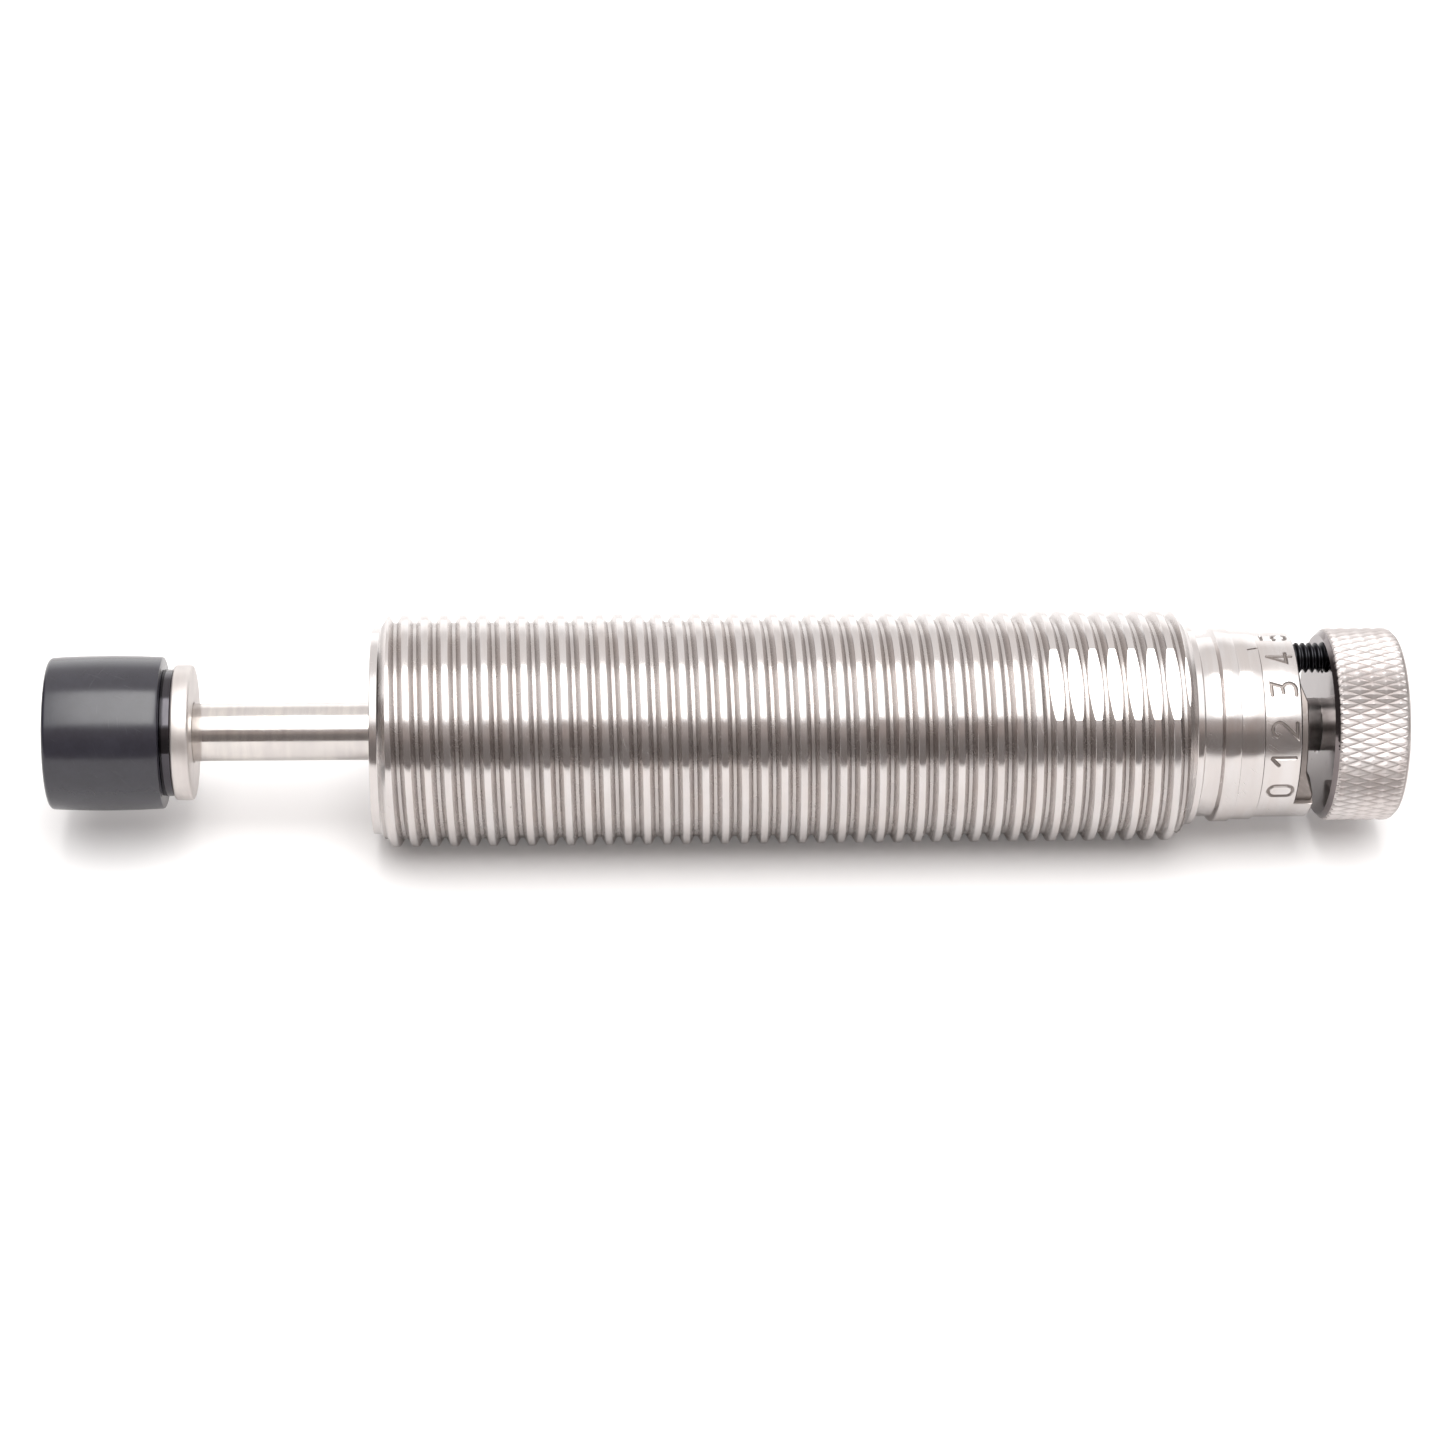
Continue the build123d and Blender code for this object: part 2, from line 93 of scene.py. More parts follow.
def noise(tree, vector, scale, detail=3.0, roughness=0.55, distortion=0.0):
    made = addNode(tree, "ShaderNodeTexNoise", {"Vector": vector, "Scale": scale, "Detail": detail,
                                                "Roughness": roughness, "Distortion": distortion})
    return made.outputs["Fac"]


def mixColor(tree, factor, first, second):
    made = addNode(tree, "ShaderNodeMix", {0: factor, 6: first, 7: second}, data_type="RGBA")
    return made.outputs[2]


def combine(tree, x, y, z):
    return addNode(tree, "ShaderNodeCombineXYZ", {"X": x, "Y": y, "Z": z}).outputs[0]


def inMillimetres(tree):
    place = addNode(tree, "ShaderNodeTexCoord").outputs["Object"]
    scaled = addNode(tree, "ShaderNodeVectorMath", {0: place, "Scale": 1 / mm}, operation="SCALE")
    return scaled.outputs[0]


def splitXYZ(tree, vector):
    return addNode(tree, "ShaderNodeSeparateXYZ", {0: vector}).outputs


def axisRadius(tree, parts):
    squares = maths(tree, "ADD", product(tree, parts[1], parts[1]), product(tree, parts[2], parts[2]))
    return maths(tree, "SQRT", squares)


def newGroup(name, inputs, outputs):
    # a shader group that takes and gives plain numbers
    tree = bpy.data.node_groups.new(name, "ShaderNodeTree")
    for way, titles in (("INPUT", inputs), ("OUTPUT", outputs)):
        for title in titles:
            tree.interface.new_socket(title, in_out=way, socket_type="NodeSocketFloat")
    start = tree.nodes.new("NodeGroupInput")
    end = tree.nodes.new("NodeGroupOutput")
    return tree, start.outputs, end.inputs


def makeTurningMarks():
    # rings left by the lathe: fine lines round the axis on sides and on end faces
    tree, given, out = newGroup("turningMarks", ["Lines", "Drift", "Streaks"], ["Height", "Streak"])
    parts = splitXYZ(tree, inMillimetres(tree))
    radius = axisRadius(tree, parts)
    along = product(tree, parts[0], given["Lines"])
    outward = product(tree, radius, given["Lines"])
    wander = product(tree, parts[1], given["Drift"])
    lines = noise(tree, combine(tree, along, outward, wander), 1.0, detail=4.0, roughness=0.65)
    slowAlong = product(tree, parts[0], given["Streaks"])
    slowRound = product(tree, parts[2], 0.16)
    streak = noise(tree, combine(tree, slowAlong, wander, slowRound), 1.0, roughness=0.6)
    tree.links.new(lines, out["Height"])
    tree.links.new(smoothStep(tree, streak, 0.32, 0.68), out["Streak"])
    return tree


def makeDirtAndShade():
    # darkening in a band of radii, the low places such as thread roots, knurl grooves and stamped marks: part
    # dirt, part painted shade, broken up into soft patches
    tree, given, out = newGroup("recessDirtAndShade", ["Deep", "Open", "Floor", "Patches", "Cover"], ["Mask"])
    place = inMillimetres(tree)
    parts = splitXYZ(tree, place)
    radius = axisRadius(tree, parts)
    depth = smoothStep(tree, radius, given["Open"], given["Deep"])
    inBand = product(tree, depth, maths(tree, "GREATER_THAN", radius, given["Floor"]))
    patch = noise(tree, place, given["Patches"], detail=5.0, roughness=0.7, distortion=0.4)
    spread = maths(tree, "SUBTRACT", 1.0, given["Cover"])
    covered = smoothStep(tree, patch, spread, maths(tree, "ADD", spread, 0.42))
    tree.links.new(product(tree, inBand, covered), out["Mask"])
    return tree


def makePits():
    # small scattered pits and nicks
    tree, given, out = newGroup("pits", ["Size", "Spacing", "Share"], ["Mask", "Height"])
    place = inMillimetres(tree)
    cell = addNode(tree, "ShaderNodeTexVoronoi",
                   {"Vector": place, "Scale": maths(tree, "DIVIDE", 1.0, given["Spacing"])})
    distance = product(tree, cell.outputs["Distance"], given["Spacing"])
    ragged = product(tree, noise(tree, place, 9.0, detail=2.0), 1.3)
    reach = product(tree, given["Size"], maths(tree, "ADD", ragged, 0.3))
    inside = maths(tree, "LESS_THAN", distance, reach)
    picked = splitXYZ(tree, cell.outputs["Color"])[0]
    chosen = maths(tree, "LESS_THAN", picked, given["Share"])
    mask = product(tree, inside, chosen)
    tree.links.new(mask, out["Mask"])
    tree.links.new(maths(tree, "SUBTRACT", 1.0, mask), out["Height"])
    return tree


def makeScratches():
    # fine handling scratches in two crossed directions, and a soft cloud of wear
    tree, given, out = newGroup("scratches", ["Scale", "Fineness", "Amount"], ["Mask", "Cloud"])
    place = inMillimetres(tree)
    found = []
    for tilt, seedShift in ((0.5, 0.0), (-0.8, 17.0)):
        turned = addNode(tree, "ShaderNodeMapping", {"Vector": place, "Location": (seedShift, 0, 0),
                                                     "Rotation": (tilt, tilt * 0.6, tilt * 1.3)})
        parts = splitXYZ(tree, turned.outputs[0])
        fine = product(tree, parts[0], given["Fineness"])
        slow = product(tree, parts[1], given["Scale"])
        across = product(tree, parts[2], given["Scale"])
        lines = noise(tree, combine(tree, fine, slow, across), 1.0, detail=2.0, roughness=0.5)
        found.append(smoothStep(tree, lines, 0.66, 0.74))
    both = maths(tree, "MAXIMUM", found[0], found[1])
    tree.links.new(product(tree, both, given["Amount"]), out["Mask"])
    cloud = noise(tree, place, product(tree, given["Scale"], 0.6), detail=4.0, roughness=0.6)
    tree.links.new(cloud, out["Cloud"])
    return tree


turningMarks = makeTurningMarks()
recessDirtAndShade = makeDirtAndShade()
pits = makePits()
scratches = makeScratches()
print("shader groups made")


def useGroup(tree, group, **values):
    return addNode(tree, "ShaderNodeGroup", values, node_tree=group).outputs


def newMaterial(name, **plain):
    made = bpy.data.materials.new(name)
    made.use_nodes = True
    tree = made.node_tree
    surface = tree.nodes["Principled BSDF"]
    for title, value in plain.items():
        surface.inputs[title.replace("_", " ")].default_value = value
    return made, tree, surface


def bumpFrom(tree, height, distance, below=None):
    # below is a bump that this one lies on
    made = addNode(tree, "ShaderNodeBump", {"Height": height, "Distance": distance * mm})
    if below is not None:
        tree.links.new(below, made.inputs["Normal"])
    return made.outputs[0]


nickelLook = {
    "plate": (0.665, 0.637, 0.628), "warm": (0.625, 0.582, 0.562), "dull": (0.58, 0.555, 0.548),
    # the dirt tint and its strength also paint shade into the low places
    "dirt": (0.13, 0.10, 0.085), "dirtStrength": 0.5, "dirtAndShadeRough": 0.35,
    "lines": 7.0, "drift": 0.10, "streaks": 1.1, "lineDepth": 0.004,
    "scratches": 0.25, "scratchScale": 0.5, "fineness": 11.0, "scratchRough": 0.3, "scratchDepth": 0.0008,
    "roughness": 0.13, "roughDrift": 0.10, "dullShare": 0.5,
    "deep": 8.95, "open": 9.36, "cleanBelow": 0.0, "patches": 0.55, "cover": 0.78,
    "pitSize": 0.07, "pitSpacing": 2.1, "pitShare": 0.28, "pitDirt": 0.75, "pitDepth": 0.01,
}
bare = {"deep": 0.5, "open": 0.8}  # keeps the dirt and painted shade to radii that don't show


def platedMetal(name, **changes):
    # nickel over turned steel: warm tint that drifts, lathe lines, dirt and painted shade in the low places,
    # small pits
    look = {**nickelLook, **changes}
    plain, warm, dull, dirt = [(*look[tint], 1) for tint in ("plate", "warm", "dull", "dirt")]
    made, tree, surface = newMaterial(name, Metallic=1.0)
    marks = useGroup(tree, turningMarks, Lines=look["lines"], Drift=look["drift"], Streaks=look["streaks"])
    wear = useGroup(tree, scratches, Scale=look["scratchScale"], Fineness=look["fineness"],
                    Amount=look["scratches"])
    low = useGroup(tree, recessDirtAndShade, Deep=look["deep"], Open=look["open"], Floor=look["cleanBelow"],
                   Patches=look["patches"], Cover=look["cover"])
    pit = useGroup(tree, pits, Size=look["pitSize"], Spacing=look["pitSpacing"], Share=look["pitShare"])
    plate = mixColor(tree, marks["Streak"], plain, warm)
    cloud = smoothStep(tree, wear["Cloud"], 0.35, 0.7)
    plate = mixColor(tree, product(tree, cloud, look["dullShare"]), plate, dull)
    # dirt and painted shade in the low places, with the pits' own dark on top
    dirtAndShade = maths(tree, "MAXIMUM", product(tree, low["Mask"], look["dirtStrength"]),
                  product(tree, pit["Mask"], look["pitDirt"]))
    tree.links.new(mixColor(tree, dirtAndShade, plate, dirt), surface.inputs["Base Color"])
    rough = look["roughness"]
    for mask, share in ((cloud, "roughDrift"), (dirtAndShade, "dirtAndShadeRough"), (wear["Mask"], "scratchRough")):
        rough = maths(tree, "ADD", rough, product(tree, mask, look[share]), clamp=True)
    tree.links.new(rough, surface.inputs["Roughness"])
    turned = bumpFrom(tree, marks["Height"], look["lineDepth"])
    worn = bumpFrom(tree, maths(tree, "SUBTRACT", 1.0, wear["Mask"]), look["scratchDepth"], turned)
    tree.links.new(bumpFrom(tree, pit["Height"], look["pitDepth"], worn), surface.inputs["Normal"])
    return made


# each plated part darkens in its low places (thread roots, index line, stamped digits, knurl grooves): part
# dirt, part painted shade
nickelBody = platedMetal("nickelBody", cover=1.3, dirtStrength=0.30, open=9.40, cleanBelow=8.7)
nickelCollar = platedMetal("nickelCollar", deep=7.70, open=7.80, cover=0.75, lines=9.0)
nickelDial = platedMetal("nickelDial", deep=7.54, open=7.635, cover=0.95, lines=9.0, dirtStrength=0.75,
                         patches=0.4, roughness=0.17)
nickelKnob = platedMetal("nickelKnob", plate=(0.69, 0.65, 0.64), warm=(0.65, 0.60, 0.585), lineDepth=0.002,
                         deep=7.74, open=7.93, cover=0.85, dirtStrength=0.55, roughness=0.36, patches=0.8,
                         cleanBelow=7.6)
# painted shade: a dark copy of the nickel for the knob's front face and chamfer, which sit in the shaded gap
# behind the dial
knobFacePaintedShade = platedMetal("knobFacePaintedShade", plate=(0.21, 0.185, 0.185), warm=(0.19, 0.165, 0.165),
                         dull=(0.16, 0.14, 0.145), lines=4.0, roughness=0.08, roughDrift=0.05,
                         lineDepth=0.0005, **bare)
# painted shade: a dark copy of the nickel for the dial's rear face, in the shaded gap before the knob
dialFacePaintedShade = platedMetal("dialFacePaintedShade", plate=(0.20, 0.18, 0.18), warm=(0.16, 0.14, 0.14),
                         dull=(0.14, 0.125, 0.13), lines=4.0, roughness=0.25, **bare)
nickelFlange = platedMetal("nickelFlange", plate=(0.67, 0.63, 0.605), deep=2.38, open=2.6, roughness=0.42)
polishedRod = platedMetal("polishedRod", plate=(0.72, 0.68, 0.64), lines=12.0, lineDepth=0.0005,
                          roughness=0.09, deep=1.0, open=1.5, pitShare=0.08)
# the stem's steel drawn darker: part its own tone, part painted shade for the gap between dial and knob
stemSteelPaintedShade = platedMetal("stemSteelPaintedShade", plate=(0.36, 0.335, 0.325), deep=2.18, open=2.24, roughness=0.2)
hardenedSteel = platedMetal("hardenedSteel", plate=(0.48, 0.47, 0.47), warm=(0.42, 0.40, 0.39),
                            dull=(0.37, 0.37, 0.38), roughness=0.24, **bare)
springSteel = platedMetal("springSteel", plate=(0.36, 0.35, 0.35), warm=(0.30, 0.28, 0.26),
                          dull=(0.27, 0.27, 0.28), lines=3.0, roughness=0.3, **bare)
bearingBronze = platedMetal("bearingBronze", plate=(0.70, 0.46, 0.22), warm=(0.62, 0.38, 0.17),
                            dull=(0.50, 0.33, 0.17), roughness=0.26, **bare)
# painted shade: near-black nickel for the insert, which is plated steel like the flange and sits in the
# shaded groove between cap and flange
insertPaintedShade = platedMetal("insertPaintedShade", plate=(0.075, 0.07, 0.078), warm=(0.06, 0.056, 0.062),
                         dull=(0.05, 0.05, 0.055), roughness=0.08, lineDepth=0.002, **bare)
blackOxide = platedMetal("blackOxide", plate=(0.045, 0.045, 0.05), warm=(0.03, 0.03, 0.034),
                         dull=(0.055, 0.055, 0.06), roughness=0.30, **bare)


elastomerLook = {
    "base": (0.020, 0.019, 0.027), "second": (0.025, 0.024, 0.034), "scuffed": (0.09, 0.09, 0.10),
    "specular": 0.65, "mottle": 0.6, "roughness": 0.17, "roughDrift": 0.06, "grain": 6.0,
    "grainDepth": 0.0015, "scuffs": 0.12, "scuffScale": 0.35, "fineness": 5.0, "scuffRough": 0.2,
}


def softStuff(name, **changes):
    # rubber, urethane and foam: mottled colour, scuffs that lighten, a fine skin texture
    look = {**elastomerLook, **changes}
    first, second, scuffed = [(*look[tint], 1) for tint in ("base", "second", "scuffed")]
    made, tree, surface = newMaterial(name, Metallic=0.0, Specular_IOR_Level=look["specular"])
    place = inMillimetres(tree)
    wear = useGroup(tree, scratches, Scale=look["scuffScale"], Fineness=look["fineness"],
                    Amount=look["scuffs"])
    mottle = smoothStep(tree, noise(tree, place, look["mottle"], detail=5.0, roughness=0.65), 0.3, 0.7)
    base = mixColor(tree, wear["Mask"], mixColor(tree, mottle, first, second), scuffed)
    tree.links.new(base, surface.inputs["Base Color"])
    cloud = smoothStep(tree, wear["Cloud"], 0.3, 0.7)
    rough = maths(tree, "ADD", look["roughness"], product(tree, cloud, look["roughDrift"]))
    rough = maths(tree, "ADD", rough, product(tree, wear["Mask"], look["scuffRough"]), clamp=True)
    tree.links.new(rough, surface.inputs["Roughness"])
    skin = noise(tree, place, look["grain"], roughness=0.6)
    tree.links.new(bumpFrom(tree, skin, look["grainDepth"]), surface.inputs["Normal"])
    return made


blackElastomer = softStuff("blackElastomer")
sealRubber = softStuff("sealRubber", base=(0.012, 0.012, 0.013), roughness=0.45)
wiperUrethane = softStuff("wiperUrethane", base=(0.05, 0.12, 0.20), second=(0.06, 0.14, 0.22), roughness=0.4)
foam = softStuff("foam", base=(0.10, 0.10, 0.105), second=(0.15, 0.15, 0.155), roughness=0.8, grain=3.0,
                 grainDepth=0.12, specular=0.2)
print("materials made")


def addObject(name, content):
    made = bpy.data.objects.new(name, content)
    bpy.context.scene.collection.objects.link(made)
    return made


def makeObject(name, points, faces, material):
    mesh = bpy.data.meshes.new(name)
    mesh.from_pydata([(x * mm, y * mm, z * mm) for x, y, z in points], [], faces)
    mesh.validate()
    mesh.update()
    if material is not None:
        mesh.materials.append(material)
    return addObject(name, mesh)


def makeSolid(name, points, faces, material=None):
    # a closed mesh whose faces all look outward
    made = makeObject(name, points, faces, material)
    work = bmesh.new()
    work.from_mesh(made.data)
    bmesh.ops.recalc_face_normals(work, faces=work.faces)
    work.to_mesh(made.data)
    work.free()
    made.data.update()
    return made


def ringFaces(rings, around, closed=False):
    # quads between rings of points that lie one after another
    faces = []
    for k in range(rings if closed else rings - 1):
        here, there = k * around, (k + 1) % rings * around
        faces += [(here + i, here + (i + 1) % around, there + (i + 1) % around, there + i)
                  for i in range(around)]
    return faces


def endCaps(rings, around):
    last = (rings - 1) * around
    return [tuple(range(around)), tuple(range(last, last + around))]


def shade(piece, degrees):
    piece.data.shade_smooth()
    piece.data.set_sharp_from_angle(angle=math.radians(degrees))


def rounded(outline, radius, steps=3):
    # a closed outline of (x, radius) points with its corners turned to arcs
    done = []
    for i, corner in enumerate(outline):
        here = Vector(corner)
        back = Vector(outline[i - 1]) - here
        ahead = Vector(outline[(i + 1) % len(outline)]) - here
        angle = back.angle(ahead)
        if here.y < 0.001 or angle > math.radians(170):
            done.append(tuple(corner))
            continue
        reach = min(radius / math.tan(angle / 2), back.length * 0.45, ahead.length * 0.45)
        size = reach * math.tan(angle / 2)
        middle = here + (back.normalized() + ahead.normalized()).normalized() * (size / math.sin(angle / 2))
        first = here + back.normalized() * reach - middle
        last = here + ahead.normalized() * reach - middle
        start = math.atan2(first.y, first.x)
        sweep = (math.atan2(last.y, last.x) - start + math.pi) % (2 * math.pi) - math.pi
        for k in range(steps + 1):
            at = start + sweep * k / steps
            done.append((middle.x + size * math.cos(at), middle.y + size * math.sin(at)))
    return done


def lathe(name, outline, material, steps=192, relief=None):
    # a closed outline turned round the axis; points on the axis become poles
    # relief gives the radius at a roll angle where the piece isn't round
    points, rings, faces = [], [], []
    for x, radius in outline:
        if radius < 1e-6:
            rings.append([len(points)])
            points.append((x, 0, 0))
            continue
        rings.append(list(range(len(points), len(points) + steps)))
        for k in range(steps):
            roll = 2 * math.pi * k / steps
            points.append(turn(x, relief(x, radius, roll) if relief else radius, roll))
    for here, there in zip(rings, rings[1:] + rings[:1]):
        if len(here) == 1 and len(there) == 1:
            continue
        for k in range(steps):
            n = (k + 1) % steps
            if len(here) == 1:
                faces.append((here[0], there[n], there[k]))
            elif len(there) == 1:
                faces.append((here[k], here[n], there[0]))
            else:
                faces.append((here[k], here[n], there[n], there[k]))
    return makeSolid(name, points, faces, material)


def stepped(stations, end):
    # the outline of a stepped shaft: where each radius starts, and where the last one ends
    line = [(stations[0][0], 0)]
    for (x, radius), (following, _) in zip(stations, stations[1:] + [(end, 0)]):
        line += [(x, radius), (following, radius)]
    return line + [(end, 0)]


def combineSolids(piece, tool, operation):
    # cuts, joins or intersects two closed meshes and throws the tool away
    change = piece.modifiers.new("change", "BOOLEAN")
    change.operation = operation
    change.object = tool
    change.solver = "MANIFOLD"
    bpy.context.view_layer.update()
    graph = bpy.context.evaluated_depsgraph_get()
    result = bpy.data.meshes.new_from_object(piece.evaluated_get(graph))
    piece.modifiers.clear()
    old = piece.data
    piece.data = result
    result.name = piece.name
    bpy.data.meshes.remove(old)
    bpy.data.objects.remove(tool)


def cut(piece, tool):
    combineSolids(piece, tool, "DIFFERENCE")


def threadProfile(size):
    # one pitch of the thread from root to root, as (distance along, height above the root)
    pitch, ease, steps = size["pitch"], size["ease"], size["cornerSteps"]
    root, crest, depth = size["root"] / 2, size["crest"], size["depth"]
    flank = (pitch - 2 * root - crest) / 2
    corners = [(-root, 0), (root, 0), (root + flank, depth), (root + flank + crest, depth)]
    line = []
    for i, corner in enumerate(corners):
        here = Vector(corner)
        last = Vector(corners[i - 1]) - Vector((pitch if i == 0 else 0, 0))
        following = Vector(corners[(i + 1) % 4]) + Vector((pitch if i == 3 else 0, 0))
        start = here + (last - here).normalized() * ease
        end = here + (following - here).normalized() * ease
        for k in range(steps + 1):
            t = k / steps
            line.append(start * (1 - t) ** 2 + here * 2 * t * (1 - t) + end * t ** 2)
    return [(p.x, p.y) for p in line]


def threadedRod(name, size, start, end, steps, material):
    # a right-hand thread as a closed solid: each roll step moves the form along by its part of the pitch
    profile = threadProfile(size)
    perTurn = len(profile)
    last = perTurn * (math.ceil((end - start) / size["pitch"]) + 1)
    rootRadius = size["radius"] - size["depth"]
    points, faces = [], []
    for j in range(steps):
        for k in range(last + 1):
            whole, i = divmod(k, perTurn)
            x = start + size["pitch"] * (whole + j / steps - 1) + profile[i][0]
            points.append(turn(x, rootRadius + profile[i][1], 2 * math.pi * j / steps))

    def at(j, k):
        return j * (last + 1) + k

    for j in range(steps):
        ahead, shift = (j + 1, 0) if j < steps - 1 else (0, perTurn)
        for k in range(last - shift):
            faces.append((at(j, k), at(j, k + 1), at(ahead, k + 1 + shift), at(ahead, k + shift)))
    stepBack = range(perTurn, 0, -1)
    frontLoop = [at(j, 0) for j in range(steps)] + [at(0, k) for k in stepBack]
    rearLoop = [at(j, last) for j in range(steps)] + [at(steps - 1, last - perTurn - 1 + k) for k in stepBack]
    for loop in (frontLoop, rearLoop):
        middle = sum(points[i][0] for i in loop) / len(loop)
        points.append((middle, 0, 0))
        faces += [(len(points) - 1, loop[k], loop[(k + 1) % len(loop)]) for k in range(len(loop))]
    return makeSolid(name, points, faces, material)


def block(name, low, high, roll=0.0):
    # a cutting block between two corners, rolled about the axis; only ever used as a tool
    corners = [Vector((x, y, z)) for x in (low[0], high[0]) for y in (low[1], high[1])
               for z in (low[2], high[2])]
    rollMatrix = Matrix.Rotation(roll, 3, "X")
    faces = [(0, 1, 3, 2), (4, 6, 7, 5), (0, 4, 5, 1), (2, 3, 7, 6), (0, 2, 6, 4), (1, 5, 7, 3)]
    return makeSolid(name, [rollMatrix @ c for c in corners], faces)


def offAxis(piece, radius, roll):
    # moves a piece that was made on the axis out to a pitch radius
    piece.data.transform(Matrix.Translation(Vector(turn(0, radius, roll)) * mm))
    return piece


def makeBarrel():
    size = {
        "thread": {"radius": 9.525, "pitch": 1.5875, "depth": 0.66, "crest": 0.54, "root": 0.28,
                   "ease": 0.06, "cornerSteps": 2},
        "threadOffset": 0.85, "steps": 192,
        "noseRadius": 8.45, "noseSlope": 0.68, "noseLand": 0.65, "mouth": 0.25,
        "tailRadius": 8.2, "tailSlope": 1.1, "tailLand": 0.5,
        "neckRadius": 7.575, "neckSlope": 0.2, "neckLength": 1.35, "bandLength": 1.35, "bandRadius": 8.0,
        "bore": 6.805, "rearBore": 5.2, "rearBoreLength": 6.6,
        "ringInset": 1.33, "ringGroove": 0.9, "ringBite": 0.5,
        "flatDepth": 0.525, "flatLength": 13.0, "flatRoll": math.radians(32.8),
        "ease": 0.09, "over": 0.2, "spare": 2.0,
    }
    front, rear, radius = span("body_tube")
    bandStart = rear - size["bandLength"]
    neckEnd = bandStart - size["neckSlope"]
    neckStart = neckEnd - size["neckLength"]
    tail = neckStart - size["neckSlope"]
    clear = radius + size["over"]  # the slopes run on past the crests, so the envelope leaves those alone
    noseRise = size["noseSlope"] * (clear - size["noseRadius"]) / (radius - size["noseRadius"])
    tailFall = size["tailSlope"] * (clear - size["tailRadius"]) / (radius - size["tailRadius"])
    ringStart = front + size["ringInset"]
    ringEnd = ringStart + size["ringGroove"]
    shoulder, bore = rear - size["rearBoreLength"], size["bore"]
    noseEnd, tailStart = front + size["noseLand"], tail - size["tailLand"]
    outside = [
        (front, bore + size["mouth"]), (front, size["noseRadius"]), (noseEnd, size["noseRadius"]),
        (noseEnd + noseRise, clear), (tailStart - tailFall, clear), (tailStart, size["tailRadius"]),
        (tail, size["tailRadius"]), (neckStart, size["neckRadius"]), (neckEnd, size["neckRadius"]),
        (bandStart, size["bandRadius"]), (rear, size["bandRadius"]),
    ]
    inside = [
        (rear, size["rearBore"]), (shoulder, size["rearBore"]), (shoulder, bore), (ringEnd, bore),
        (ringEnd, bore + size["ringBite"]), (ringStart, bore + size["ringBite"]), (ringStart, bore),
        (front + size["mouth"], bore),
    ]
    body = threadedRod("threaded_barrel", size["thread"], front - size["spare"] + size["threadOffset"],
                       rear + size["spare"], size["steps"], nickelBody)
    envelope = lathe("envelope", rounded(outside + inside, size["ease"], 2), None, size["steps"])
    combineSolids(body, envelope, "INTERSECT")
    flatReach = radius - size["flatDepth"]
    for side in (0, math.pi):
        cutter = block("flatCutter", (tail - size["flatLength"], -radius, flatReach),
                       (tail + 0.01, radius, radius + 1), size["flatRoll"] + side)
        cut(body, cutter)
    shade(body, 32)
    markFlats(body, flatReach, (size["flatRoll"], size["flatRoll"] + math.pi))
    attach(body, "barrel")
    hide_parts("body_tube")


def markFlats(piece, reach, rolls):
    # the wrench flats keep crisp borders
    normals = [Vector(turn(0, 1, roll)) for roll in rolls]
    onFlat = {face.index for face in piece.data.polygons for normal in normals
              if abs(face.center.dot(normal) / mm - reach) < 0.002 and face.normal.dot(normal) > 0.999}
    markBorders(piece.data, onFlat)


def markBorders(mesh, chosen):
    # the edges that have a chosen face on one side only stay crisp
    borders = {}
    for face in mesh.polygons:
        for key in face.edge_keys:
            borders.setdefault(key, set()).add(face.index in chosen)
    sharp = mesh.attributes.get("sharp_edge") or mesh.attributes.new("sharp_edge", "BOOLEAN", "EDGE")
    for edge in mesh.edges:
        if len(borders.get(edge.key, ())) == 2:
            sharp.data[edge.index].value = True


makeBarrel()
print("barrel threaded")


